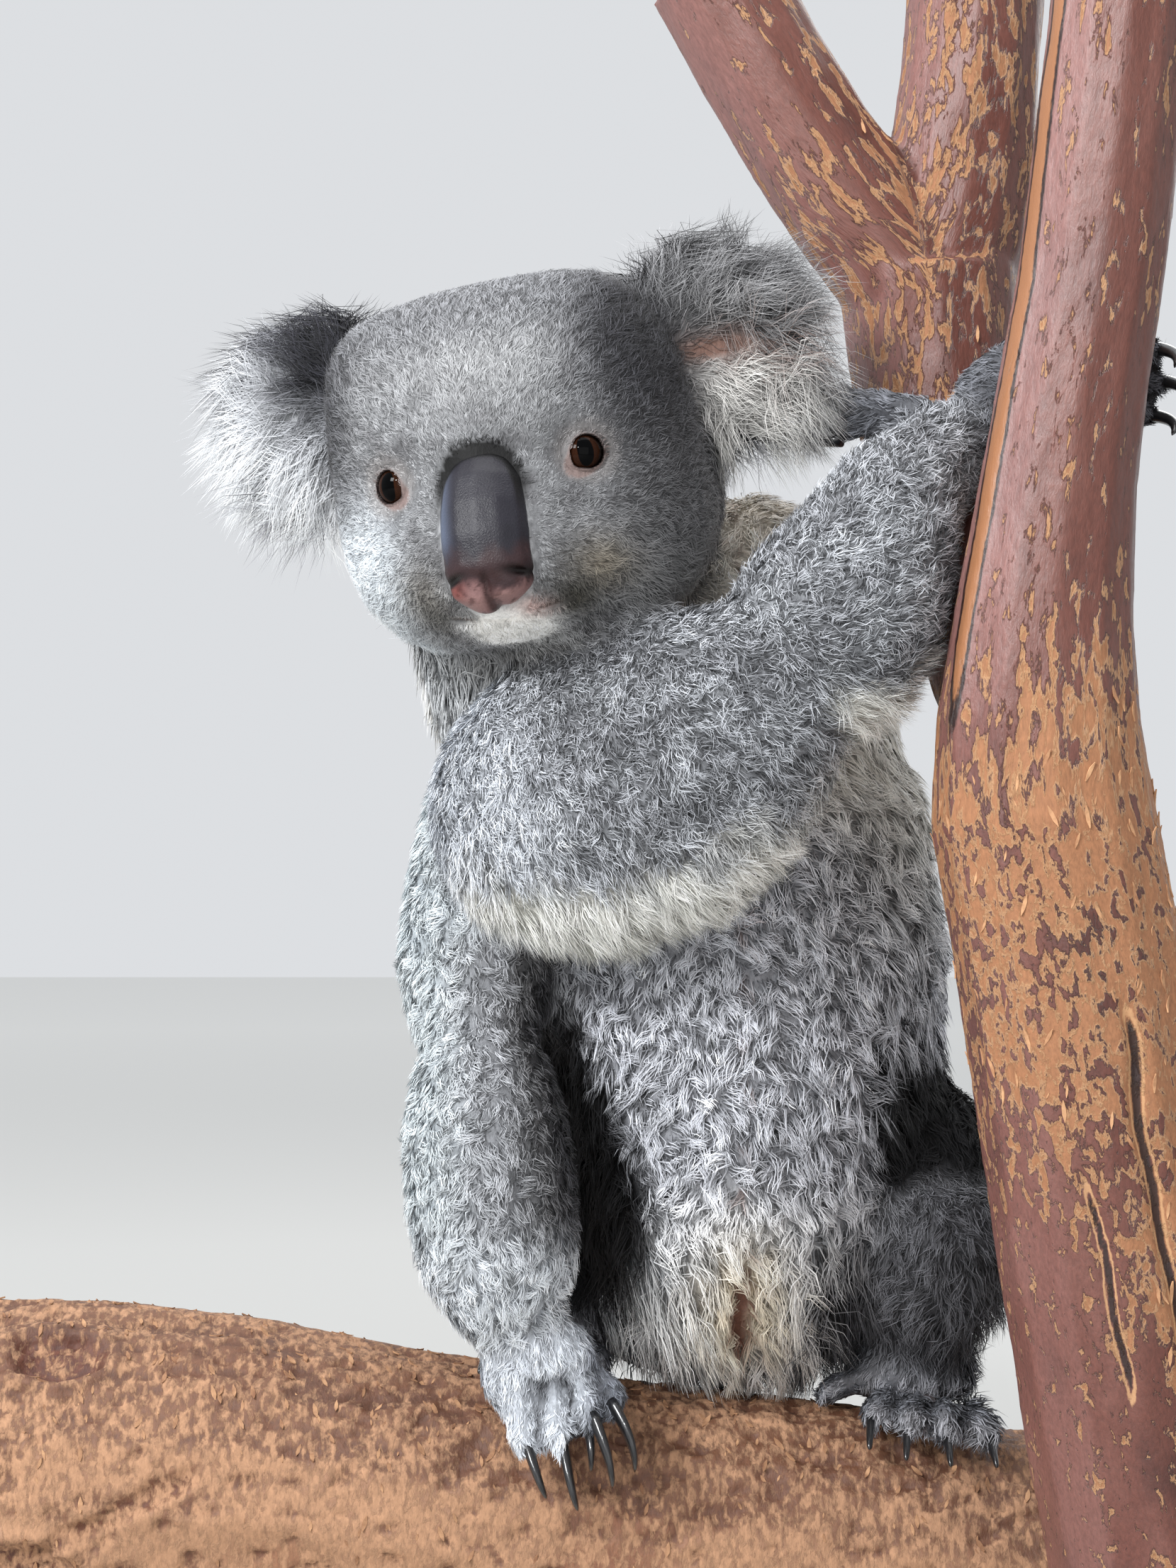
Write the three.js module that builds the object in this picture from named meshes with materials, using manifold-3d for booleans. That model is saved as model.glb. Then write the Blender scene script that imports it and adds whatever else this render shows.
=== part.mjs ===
// A life-size koala seated on a thick log, one arm hanging over the log and the other
// reaching up to a forked trunk, on a plain display stand. Millimetres, +Z up. The koala
// faces -Y, its left side is +X, and the origin is the middle of the base's underside.
// Flesh pieces reach out to the tips of the coat.
import * as THREE from 'three';
import { mergeVertices } from 'three/addons/utils/BufferGeometryUtils.js';
import Module from 'manifold-3d';

// ---- driving dimensions ----

const GAP = 0.3;                  // left between touching pieces
const SMOOTHING = 0.12;           // nearly flat edges are merged within this
const WELD = 1e-4;                // vertices of a raw shape closer than this are one

const BASE = { width: 520, depth: 340, thick: 18, corner: 26, bevel: 3 };
const ROD_RADIUS = 9;

const HEAD = { x: -24.5, y: -40, z: 528, yaw: -13, pitch: 4, roll: -9 };
const SKULL = { halfWidth: 69.5, halfDepth: 61, halfHeight: 68.5, square: 2.55, y: 5, z: 1 };
const EYE = { x: 32.5, y: -44.5, z: 0, radius: 9 };
const NOSE = { top: 6, bottom: -48.5, halfWidth: 15.5 };
const EAR = { x: 82, y: 14, z: 35, halfWidth: 46, halfHeight: 44, halfDepth: 15, out: 16 };

const CLAW_RADIUS = 2.3;
const CLAW_TIP = 0.45;

const LOG_RADIUS = 62;

const COLOUR = {
  coat: 0x8f9297, ear: 0xa7a6a5, nose: 0x46434c, eye: 0x5a371f, claw: 0x1e1e22,
  logBark: 0xa9704a, trunkBark: 0x74453a, stand: 0xd9d6cf, rod: 0x8b8e92,
};

// ---- solids: making, joining and cutting ----

const wasm = await Module();
wasm.setup();

// A closed three.js geometry as a solid with its faces outwards.
function solid(geometry) {
  const bare = geometry.clone();
  bare.deleteAttribute('normal');
  bare.deleteAttribute('uv');
  const merged = mergeVertices(bare, WELD);
  const corners = new Uint32Array(merged.index.array);
  const vertProperties = merged.attributes.position.array;
  const made = new wasm.Manifold(
    new wasm.Mesh({ numProp: 3, vertProperties, triVerts: corners }));
  if (made.volume() > 0) return made;
  for (let i = 0; i < corners.length; i += 3) {
    [corners[i + 1], corners[i + 2]] = [corners[i + 2], corners[i + 1]];
  }
  return new wasm.Manifold(
    new wasm.Mesh({ numProp: 3, vertProperties, triVerts: corners }));
}

function joined(solids) {
  return solids.reduce((sum, next) => sum.add(next));
}

// The biggest single body of a solid, without the crumbs that a cut leaves.
function biggestBody(whole) {
  const bodies = whole.decompose();
  bodies.sort((a, b) => b.volume() - a.volume());
  return bodies[0];
}

function boxesMeet(a, b) {
  const p = a.boundingBox();
  const q = b.boundingBox();
  return [0, 1, 2].every((i) => p.min[i] <= q.max[i] && q.min[i] <= p.max[i]);
}

function vec(point) {
  return new THREE.Vector3(...point);
}

// ---- shapes ----

// Values along a path, as smooth as the path itself.
function along(values, u) {
  const line = new THREE.CatmullRomCurve3(values.map((value, i) => vec([value, i, 0])));
  return line.getPoint(u).x;
}

// A round-ended limb along a smooth path. At each point of the path, `across` is its half
// width towards `side` and `deep` its half width square to that. `blunt` is 2 for pointed
// egg ends and more for fuller ones; `egg` narrows the half that faces the deep side.
function limb({ path, across, deep = across, side = [1, 0, 0], blunt = 3.5, egg = 0,
  sides = 16, rings = 10 }, grow = 0) {
  const curve = new THREE.CatmullRomCurve3(path.map(vec));
  const geometry = new THREE.SphereGeometry(1, sides, rings);
  const at = geometry.attributes.position;
  const sideways = vec(side);
  const v = new THREE.Vector3();
  for (let i = 0; i < at.count; i++) {
    v.fromBufferAttribute(at, i);
    const u = THREE.MathUtils.clamp((1 - v.y) / 2, 0, 1);
    const turn = Math.atan2(v.z, v.x);
    const full = Math.sqrt(Math.max(0, 1 - Math.abs(v.y) ** blunt));
    const tangent = curve.getTangent(u);
    const front = new THREE.Vector3().crossVectors(tangent, sideways).normalize();
    const level = new THREE.Vector3().crossVectors(front, tangent).normalize();
    const wide = (along(across, u) + grow) * full * (1 - egg * Math.sin(turn));
    const thick = (along(deep, u) + grow) * full;
    v.copy(curve.getPoint(u))
      .addScaledVector(tangent, -at.getY(i) * grow)
      .addScaledVector(level, wide * Math.cos(turn))
      .addScaledVector(front, thick * Math.sin(turn));
    at.setXYZ(i, v.x, v.y, v.z);
  }
  return solid(geometry);
}

// A length of branch with flat sawn ends and a slightly uneven round section.
function branch({ path, radius, knobs = 0.03, sides = 18, steps = 12 }, grow = 0) {
  const curve = new THREE.CatmullRomCurve3(path.map(vec));
  const geometry = new THREE.CylinderGeometry(1, 1, 1, sides, steps);
  const at = geometry.attributes.position;
  const v = new THREE.Vector3();
  for (let i = 0; i < at.count; i++) {
    v.fromBufferAttribute(at, i);
    const u = 0.5 - v.y;
    const spread = Math.hypot(v.x, v.z);
    const turn = Math.atan2(v.z, v.x);
    const uneven = 1 + knobs * (Math.sin(3 * turn + 7 * u) + 0.6 * Math.sin(2 * turn - 11 * u));
    const tangent = curve.getTangent(u);
    const reference = Math.abs(tangent.x) > 0.8 ? [0, -1, 0] : [1, 0, 0];
    const front = new THREE.Vector3().crossVectors(tangent, vec(reference)).normalize();
    const level = new THREE.Vector3().crossVectors(front, tangent).normalize();
    const r = (along(radius, u) + grow) * uneven * spread;
    v.copy(curve.getPoint(u))
      .addScaledVector(tangent, (u < 0.5 ? -1 : 1) * grow)
      .addScaledVector(level, r * Math.cos(turn))
      .addScaledVector(front, r * Math.sin(turn));
    at.setXYZ(i, v.x, v.y, v.z);
  }
  return solid(geometry);
}

// A ball or box-like round form. `square` is 2 for an ellipsoid and more for a boxier one;
// `shape` may move each point after that.
function ball({ centre, half, square = 2, sides = 20, rings = 14, shape = null }, grow = 0) {
  const geometry = new THREE.SphereGeometry(1, sides, rings);
  geometry.rotateX(Math.PI / 2);
  const at = geometry.attributes.position;
  const v = new THREE.Vector3();
  const n = new THREE.Vector3();
  for (let i = 0; i < at.count; i++) {
    n.fromBufferAttribute(at, i);
    const sum = Math.abs(n.x) ** square + Math.abs(n.y) ** square + Math.abs(n.z) ** square;
    const r = 1 / sum ** (1 / square);
    v.set(n.x * half[0], n.y * half[1], n.z * half[2]).multiplyScalar(r);
    if (shape) shape(v, n);
    v.addScaledVector(n, grow).add(vec(centre));
    at.setXYZ(i, v.x, v.y, v.z);
  }
  return geometry;
}

// A smooth hill of height 1 at the middle, `a` and `b` wide.
function hill(x, z, a, b) {
  return Math.exp(-0.5 * ((x / a) ** 2 + (z / b) ** 2));
}

// ---- head ----

const headPlace = new THREE.Matrix4()
  .makeTranslation(HEAD.x, HEAD.y, HEAD.z)
  .multiply(new THREE.Matrix4().makeRotationY(THREE.MathUtils.degToRad(HEAD.roll)))
  .multiply(new THREE.Matrix4().makeRotationZ(THREE.MathUtils.degToRad(HEAD.yaw)))
  .multiply(new THREE.Matrix4().makeRotationX(THREE.MathUtils.degToRad(HEAD.pitch)));

function inHead(point) {
  return vec(point).applyMatrix4(headPlace).toArray();
}

const headAcross = new THREE.Vector3(1, 0, 0).transformDirection(headPlace).toArray();

function skull(grow) {
  const geometry = ball({
    centre: [0, SKULL.y, SKULL.z],
    half: [SKULL.halfWidth, SKULL.halfDepth, SKULL.halfHeight],
    square: SKULL.square, sides: 20, rings: 16,
    shape: (v, n) => {
      const face = THREE.MathUtils.smoothstep(-n.y, 0.05, 0.7);
      const muzzle = 29 * hill(v.x, v.z + 41, 25, 20);
      const bridge = 8 * hill(v.x, v.z + 2, 16, 24);
      const brow = 3.5 * hill(Math.abs(v.x) - 30, v.z - 17, 12, 8);
      const socket = 4.5 * hill(Math.abs(v.x) - EYE.x, v.z + 1, 10, 9);
      const crown = 5 * hill(v.x, v.z - 62, 60, 14);
      v.y += face * (socket + crown - muzzle - bridge - brow);
      const jowl = 3.5 * hill(Math.abs(v.x) - 52, v.z + 34, 18, 18);
      v.x += Math.sign(v.x) * jowl;
    },
  }, grow);
  return solid(geometry.applyMatrix4(headPlace));
}

// The leathery nose: a long oblong pad from between the eyes down to the lip.
function nose(grow) {
  const { top, bottom, halfWidth } = NOSE;
  const length = top - bottom;
  return limb({
    path: [[0, -55, top], [0, -63, top - 0.2 * length], [0, -69.5, top - 0.45 * length],
      [0, -73, top - 0.72 * length], [0, -70, bottom]].map(inHead),
    across: [0.86, 0.96, 1, 1.02, 0.86].map((share) => share * halfWidth),
    deep: [8, 9.5, 10.5, 11.5, 11],
    side: headAcross, blunt: 3.2, sides: 12, rings: 9,
  }, grow);
}

function eye(side, grow) {
  const centre = [side * EYE.x, EYE.y, EYE.z];
  const r = EYE.radius;
  const geometry = ball({ centre, half: [r, r, r], sides: 10, rings: 7 }, grow);
  return solid(geometry.applyMatrix4(headPlace));
}

// A round ear, dished at the front, with its fringe as part of the outline.
function ear(side, grow) {
  const geometry = ball({
    centre: [0, 0, 0],
    half: [EAR.halfWidth, EAR.halfDepth, EAR.halfHeight],
    square: 2.25, sides: 16, rings: 10,
    shape: (v, n) => {
      const facing = THREE.MathUtils.smoothstep(-n.y, 0.1, 0.6);
      v.y += facing * 11 * hill(v.x + side * 12, v.z - 2, 17, 8);
      v.y += 7 * (v.x / EAR.halfWidth) ** 2 * (v.x * side > 0 ? -0.6 : 1);
      v.z -= 5 * hill(v.x - side * 20, v.z + 40, 16, 20);
    },
  }, grow);
  geometry.rotateZ(side * THREE.MathUtils.degToRad(EAR.out));
  geometry.translate(side * EAR.x, EAR.y, EAR.z);
  return solid(geometry.applyMatrix4(headPlace));
}

// ---- body ----

const neck = {
  path: [[-22, -2, 530], [-17, 4, 492], [-5, 13, 452], [8, 20, 412]],
  across: [53, 57, 61, 62], deep: [48, 53, 57, 60], sides: 10, rings: 5,
};

const torso = {
  path: [[52, 26, 184], [54, 30, 240], [52, 33, 305], [42, 33, 372], [26, 28, 438],
    [14, 22, 505]],
  across: [60, 70, 78, 84, 79, 60], deep: [68, 84, 88, 82, 68, 54],
  egg: -0.16, blunt: 5, sides: 18, rings: 10,
};

const shoulderHump = {
  path: [[40, 30, 404], [60, 29, 448], [60, 25, 530]],
  across: [48, 53, 46], deep: [46, 50, 38], blunt: 3, sides: 10, rings: 6,
};

const upperArm = {
  left: {
    path: [[-56, -22, 398], [-22, -48, 404], [14, -62, 411], [48, -74, 430], [84, -80, 462]],
    across: [46, 54, 57, 50, 41], deep: [30, 37, 39, 37, 32], side: [0, 0, 1],
    sides: 14, rings: 9,
  },
  right: {
    path: [[-8, 24, 440], [-24, 14, 408], [-36, -4, 370], [-41, -24, 336], [-41, -38, 300]],
    across: [36, 39, 36, 33, 29], deep: [38, 40, 36, 31, 28], sides: 12, rings: 8,
  },
};

const forearm = {
  left: {
    path: [[52, -76, 434], [80, -80, 461], [97, -75, 486], [109, -66, 512], [123, -55, 528],
      [146, -42, 552]],
    across: [40, 43.5, 38, 29, 23.5, 17], deep: [30, 32, 28, 24, 21, 16], side: [-0.8, 0, 0.6],
    sides: 12, rings: 10,
  },
  right: {
    path: [[-41, -30, 334], [-38, -44, 298], [-35, -48, 262], [-30, -50, 232],
      [-21, -50, 205]],
    across: [29, 33, 34, 31, 23], deep: [27, 30, 30, 26, 17], sides: 14, rings: 8,
  },
};

// A hand or foot: a palm, digits that bend once, and a claw on each digit that has one.
// Each digit gives its root, knuckle, tip and half thickness; each claw its curved path
// from inside the digit's tip.
const paws = {
  hand_right: {
    palm: {
      path: [[-25, -50, 222], [-18, -51, 203], [-11, -54, 184]],
      across: [20, 24, 22], deep: [15, 14, 11],
    },
    digits: [
      { bones: [[-21, -54, 196], [-24, -60, 184], [-21, -66, 170]], half: 8.6 },
      { bones: [[-12, -55, 194], [-11, -63, 182], [-8, -69, 169]], half: 8.4 },
      { bones: [[-2, -54, 198], [2, -61, 190], [3, -67, 179]], half: 7.2 },
      { bones: [[4, -50, 201], [9, -56, 195], [10, -62, 184]], half: 6.6 },
      { bones: [[-4, -47, 196], [0, -54, 186], [0, -61, 178]], half: 6.2 },
    ],
    claws: [
      [[-21, -65, 175], [-18, -71, 167], [-14, -70, 157]],
      [[-8, -68, 173], [-6, -74, 164], [-3, -72, 153]],
      [[3, -66, 184], [7, -72, 174], [9, -70, 160]],
      [[10, -61, 188], [15, -67, 179], [17, -66, 165]],
      [[0, -60, 182], [1, -67, 176], [1, -67, 166]],
    ],
  },
  hand_left: {
    palm: {
      path: [[134, -47, 540], [158, -42, 556], [188, -41, 560]],
      across: [17, 22, 19], deep: [15, 15, 12], side: [-0.5, 0, 0.86],
    },
    digits: [
      { bones: [[176, -42, 570], [198, -46, 572], [207, -60, 568]], half: 7.6 },
      { bones: [[176, -42, 559], [200, -46, 560], [209, -62, 556]], half: 7.8 },
      { bones: [[174, -42, 548], [196, -46, 548], [205, -60, 544]], half: 7.4 },
      { bones: [[132, -46, 550], [104, -40, 552], [80, -28, 556]], half: 6.8 },
      { bones: [[122, -40, 551], [104, -38, 544], [84, -33, 538]], half: 6.2 },
    ],
    claws: [
      [[206, -56, 569], [209, -68, 566], [207, -79, 559]],
      [[208, -58, 557], [211, -70, 554], [209, -82, 547]],
      [[204, -56, 545], [208, -68, 542], [206, -80, 535]],
      [[86, -31, 555], [77, -22, 556], [76, -11, 553]],
      [[89, -37, 538], [80, -29, 538], [78, -18, 535]],
    ],
  },
  foot_left: {
    palm: {
      path: [[114, 48, 187], [121, 20, 191], [128, -8, 184]],
      across: [19, 25, 27], deep: [13, 16, 13],
    },
    digits: [
      { bones: [[116, -6, 186], [107, -20, 182], [104, -28, 174]], half: 7.8 },
      { bones: [[124, -8, 185], [119, -24, 181], [117, -33, 171]], half: 8 },
      { bones: [[132, -8, 184], [132, -25, 179], [132, -34, 169]], half: 8.2 },
      { bones: [[140, -6, 182], [145, -22, 177], [148, -31, 168]], half: 8 },
      { bones: [[108, 14, 188], [94, 2, 186], [85, -6, 182]], half: 7.8 },
    ],
    claws: [
      [[104, -27, 177], [103, -35, 171], [103, -40, 163]],
      [[117, -32, 174], [116, -40, 168], [116, -45, 160]],
      [[132, -33, 172], [132, -41, 166], [133, -46, 158]],
      [[148, -30, 171], [149, -38, 165], [150, -43, 157]],
    ],
  },
  foot_right: {
    palm: {
      path: [[-3, 58, 198], [-9, 32, 203], [-15, 6, 204]],
      across: [18, 23, 24], deep: [13, 15, 13],
    },
    digits: [
      { bones: [[-25, 8, 204], [-35, -4, 202], [-38, -13, 197]], half: 7.2 },
      { bones: [[-17, 6, 203], [-22, -7, 201], [-24, -16, 194]], half: 7.4 },
      { bones: [[-9, 6, 203], [-9, -7, 200], [-10, -16, 192]], half: 7.4 },
      { bones: [[-1, 8, 202], [4, -5, 198], [4, -14, 191]], half: 7.2 },
      { bones: [[3, 28, 200], [17, 18, 196], [24, 12, 192]], half: 6.6 },
    ],
    claws: [
      [[-38, -12, 199], [-40, -20, 196], [-42, -25, 189]],
      [[-24, -15, 196], [-25, -23, 193], [-26, -28, 186]],
      [[-10, -15, 194], [-10, -23, 191], [-11, -28, 184]],
      [[4, -13, 193], [5, -21, 190], [6, -26, 183]],
    ],
  },
};

function digit({ bones, half }, grow) {
  return limb({ path: bones, across: [half * 0.9, half, half * 0.86], blunt: 4,
    sides: 6, rings: 4 }, grow);
}

function paw({ palm, digits }, grow) {
  const parts = [limb({ ...palm, blunt: 3, sides: 9, rings: 6 }, grow)];
  for (const one of digits) parts.push(digit(one, grow));
  return joined(parts);
}

function claw(path, grow) {
  const middle = (CLAW_RADIUS + CLAW_TIP) / 2 + 0.35;
  return limb({ path, across: [CLAW_RADIUS, middle, CLAW_TIP], blunt: 8,
    sides: 5, rings: 4 }, grow);
}

const thigh = {
  left: {
    path: [[76, 90, 226], [101, 58, 244], [124, 18, 264], [134, -8, 272]],
    across: [58, 57, 47, 38], deep: [54, 54, 47, 38], sides: 12, rings: 7,
  },
  right: {
    path: [[24, 92, 228], [2, 62, 244], [-16, 24, 261], [-22, 8, 268]],
    across: [58, 55, 43, 32], deep: [54, 52, 42, 30], sides: 12, rings: 7,
  },
};

const shin = {
  left: {
    path: [[133, -6, 270], [130, -2, 234], [121, 14, 194]],
    across: [36, 33, 26], deep: [31, 28, 23], sides: 9, rings: 5,
  },
  right: {
    path: [[-24, 8, 272], [-26, 16, 242], [-18, 26, 208]],
    across: [30, 27, 21], deep: [26, 24, 19], sides: 9, rings: 5,
  },
};

// ---- perch and stand ----

const perchLog = {
  path: [[-236, 16, 150], [-150, 14, 149], [-60, 10, 136], [30, 8, 124], [120, 10, 112],
    [214, 14, 101]],
  radius: [1.04, 1.01, 1, 0.99, 0.97, 0.94].map((share) => share * LOG_RADIUS),
  sides: 16, steps: 8,
};

const perchTrunk = {
  path: [[214, -86, 74], [201, -86, 138], [185, -86, 234], [170, -85, 340], [159, -84, 410],
    [160, -85, 462], [168, -85, 535], [177, -85, 589], [187, -85, 680], [191, -84, 722]],
  radius: [41, 40, 40, 40, 38.5, 32, 27, 26, 25, 25],
  knobs: 0.02, sides: 12, steps: 14,
};

const perchStem = {
  path: [[158, -86, 416], [146, -34, 484], [135, 4, 545], [129, 10, 604]],
  radius: [27, 30, 32, 34], sides: 12, steps: 6,
};

const perchLimb = {
  left: { path: [[128, 8, 592], [108, 6, 620], [79, 8, 664], [46, 12, 722]],
    radius: [26, 26, 25, 25], sides: 12, steps: 5 },
  right: { path: [[132, 12, 598], [140, 14, 630], [145, 16, 672], [148, 18, 722]],
    radius: [29, 28, 27, 26], sides: 12, steps: 4 },
};

function standBase() {
  const { width, depth, thick, corner, bevel } = BASE;
  const x = width / 2 - bevel;
  const y = depth / 2 - bevel;
  const outline = new THREE.Shape();
  outline.moveTo(-x + corner, -y);
  outline.lineTo(x - corner, -y);
  outline.absarc(x - corner, -y + corner, corner, -Math.PI / 2, 0);
  outline.absarc(x - corner, y - corner, corner, 0, Math.PI / 2);
  outline.absarc(-x + corner, y - corner, corner, Math.PI / 2, Math.PI);
  outline.absarc(-x + corner, -y + corner, corner, Math.PI, 1.5 * Math.PI);
  const plate = new THREE.ExtrudeGeometry(outline, {
    depth: thick - 2 * bevel, bevelThickness: bevel, bevelSize: bevel, bevelSegments: 1,
    curveSegments: 4,
  });
  plate.translate(0, 0, bevel);
  return solid(plate);
}

// A rod from the base up into what it carries, which cuts its top to fit.
function standRod(x, y, top) {
  const bottom = BASE.thick + GAP;
  const rod = new THREE.CylinderGeometry(ROD_RADIUS, ROD_RADIUS, top - bottom, 16);
  rod.rotateX(Math.PI / 2);
  rod.translate(x, y, (top + bottom) / 2);
  return solid(rod);
}

// ---- the list of pieces: each is cut to fit those before it that it touches ----

const pieces = [];

function addPiece(name, colour, build, roughness = 0.85) {
  pieces.push({ name, colour, roughness, build });
}

for (const [name, side] of [['left', 1], ['right', -1]]) {
  addPiece(`eye_${name}`, COLOUR.eye, (grow) => eye(side, grow), 0.1);
}
addPiece('nose', COLOUR.nose, nose, 0.45);
addPiece('perch_trunk', COLOUR.trunkBark, (grow) => branch(perchTrunk, grow));
addPiece('perch_stem', COLOUR.trunkBark, (grow) => branch(perchStem, grow));
for (const name of ['left', 'right']) {
  addPiece(`perch_limb_${name}`, COLOUR.trunkBark, (grow) => branch(perchLimb[name], grow));
}
addPiece('perch_log', COLOUR.logBark, (grow) => branch(perchLog, grow));
addPiece('stand_base', COLOUR.stand, standBase, 0.5);
addPiece('stand_rod_log', COLOUR.rod, () => standRod(-110, 12, 110), 0.4);
addPiece('stand_rod_trunk', COLOUR.rod, () => standRod(212, -86, 90), 0.4);
for (const [name, { claws }] of Object.entries(paws)) {
  claws.forEach((path, i) => {
    addPiece(`${name}_claw_${i + 1}`, COLOUR.claw, (grow) => claw(path, grow), 0.3);
  });
}
for (const name of Object.keys(paws)) {
  addPiece(name, COLOUR.coat, (grow) => paw(paws[name], grow));
}
addPiece('head', COLOUR.coat, skull);
for (const [name, side] of [['left', 1], ['right', -1]]) {
  addPiece(`ear_${name}`, COLOUR.ear, (grow) => ear(side, grow));
}
for (const [name, shapes] of Object.entries({ forearm, upper_arm: upperArm })) {
  for (const side of ['left', 'right']) {
    addPiece(`${name}_${side}`, COLOUR.coat, (grow) => limb(shapes[side], grow));
  }
}
addPiece('torso', COLOUR.coat, (grow) => limb(torso, grow).add(limb(shoulderHump, grow)));
addPiece('neck', COLOUR.coat, (grow) => limb(neck, grow));
for (const [name, shapes] of Object.entries({ thigh, shin })) {
  for (const side of ['left', 'right']) {
    addPiece(`${name}_${side}`, COLOUR.coat, (grow) => limb(shapes[side], grow));
  }
}

function meshOf({ name, colour, roughness }, body) {
  const { vertProperties, triVerts } = body.getMesh();
  const geometry = new THREE.BufferGeometry();
  geometry.setAttribute('position', new THREE.BufferAttribute(vertProperties, 3));
  geometry.setIndex(new THREE.BufferAttribute(triVerts, 1));
  geometry.computeVertexNormals();
  const material = new THREE.MeshStandardMaterial({ color: colour, roughness, metalness: 0 });
  const mesh = new THREE.Mesh(geometry, material);
  mesh.name = name;
  return mesh;
}

const koala = new THREE.Group();
const placed = [];
for (const piece of pieces) {
  let body = piece.build(0);
  for (const wider of placed) {
    if (boxesMeet(body, wider)) body = body.subtract(wider);
  }
  body = biggestBody(body.simplify(SMOOTHING));
  koala.add(meshOf(piece, body));
  placed.push(piece.build(GAP));
}

export default koala;
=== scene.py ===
"""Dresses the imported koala: one skin, a coat of tufts, eyes, nose, claws, bark and stand."""

import functools
import math

import bmesh
import bpy
import numpy as np
from bpy.props import FloatProperty, FloatVectorProperty, IntProperty, PointerProperty
from mathutils import Matrix, Vector
from mathutils.bvhtree import BVHTree
from mathutils.kdtree import KDTree


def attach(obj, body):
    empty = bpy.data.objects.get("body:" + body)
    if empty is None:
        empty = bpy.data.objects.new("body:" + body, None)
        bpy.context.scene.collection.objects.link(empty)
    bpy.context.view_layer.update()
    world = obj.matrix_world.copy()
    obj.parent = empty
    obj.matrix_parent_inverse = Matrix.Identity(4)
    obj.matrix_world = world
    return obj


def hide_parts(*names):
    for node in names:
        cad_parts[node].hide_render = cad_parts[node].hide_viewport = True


bl_info = {
    "name": "Koala on a log",
    "version": (1, 0, 0),
    "blender": (4, 5, 0),
    "location": "3D View > Sidebar > Koala",
    "description": "Builds the fur, eyes, nose, claws, bark and stand of a life-size koala",
    "category": "Object",
}

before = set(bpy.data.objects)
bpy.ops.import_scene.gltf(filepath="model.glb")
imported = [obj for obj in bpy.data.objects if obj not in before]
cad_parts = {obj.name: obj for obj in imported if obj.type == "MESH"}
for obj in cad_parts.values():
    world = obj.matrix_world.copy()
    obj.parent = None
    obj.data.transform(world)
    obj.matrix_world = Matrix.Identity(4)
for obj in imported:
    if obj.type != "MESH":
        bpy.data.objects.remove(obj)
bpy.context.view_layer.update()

MM = 0.001
UV_NAME = "OFBake"
TUFT_PATCH = 0.003  # width of a tuft's patch on its map

# ---- the head's own frame: +x its left side, -y the way it faces, +z its crown ----

HEAD_ORIGIN = np.array([-24.5, -40.0, 528.0]) * MM
HEAD_TURN = np.array(
    (
        Matrix.Rotation(math.radians(-9), 3, "Y")
        @ Matrix.Rotation(math.radians(-13), 3, "Z")
        @ Matrix.Rotation(math.radians(4), 3, "X")
    )
)
EYE_CENTRE = np.array([32.5, -44.5, 0.0]) * MM
EYE_RADIUS = 9 * MM
EYE_OUT = math.radians(33)  # how far each eye looks to its own side
EYE_UP = math.radians(3)
NOSE_CENTRE = np.array([0.0, -73.0, -22.0]) * MM
NOSE_HALF = (15.5, 29.5)  # half width and half height of the nose's pad, in millimetres
NOSE_MIDDLE = -21.5  # how high the middle of its outline is
NOSE_SQUARE = 2.8  # how square its outline is: 2 is an ellipse
EAR_ROOT = np.array([54.0, 13.0, 27.0]) * MM

# Each limb's middle line, from the trunk outwards, in millimetres: the coat lies along it.
LIMB_LINES = {
    "neck": [[-22, -2, 530], [-17, 4, 492], [-5, 13, 452], [8, 20, 412]],
    "torso": [[14, 22, 505], [26, 28, 438], [42, 33, 372], [52, 33, 305], [54, 30, 240],
              [52, 26, 184]],
    "upper_arm_left": [[-56, -22, 398], [-22, -48, 404], [14, -62, 411], [48, -74, 430],
                       [84, -80, 462]],
    "forearm_left": [[52, -76, 434], [80, -80, 461], [97, -75, 486], [109, -66, 512],
                     [123, -55, 528], [146, -42, 552]],
    "hand_left": [[134, -47, 540], [158, -42, 556], [188, -41, 560], [207, -60, 560]],
    "upper_arm_right": [[-8, 24, 440], [-24, 14, 408], [-36, -4, 370], [-41, -24, 336],
                        [-41, -38, 300]],
    "forearm_right": [[-41, -30, 334], [-38, -44, 298], [-35, -48, 262], [-30, -50, 232],
                      [-21, -50, 205]],
    "hand_right": [[-25, -50, 222], [-18, -51, 203], [-9, -56, 188], [-6, -66, 172]],
    "thigh_left": [[76, 90, 226], [101, 58, 244], [124, 18, 264], [134, -8, 272]],
    "thigh_right": [[24, 92, 228], [2, 62, 244], [-16, 24, 261], [-22, 8, 268]],
    "shin_left": [[133, -6, 270], [130, -2, 234], [121, 14, 194]],
    "shin_right": [[-24, 8, 272], [-26, 16, 242], [-18, 26, 208]],
    "foot_left": [[114, 48, 187], [121, 20, 191], [128, -8, 184], [132, -30, 172]],
    "foot_right": [[-3, 58, 198], [-9, 32, 203], [-15, 6, 204], [-16, -16, 194]],
}

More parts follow.
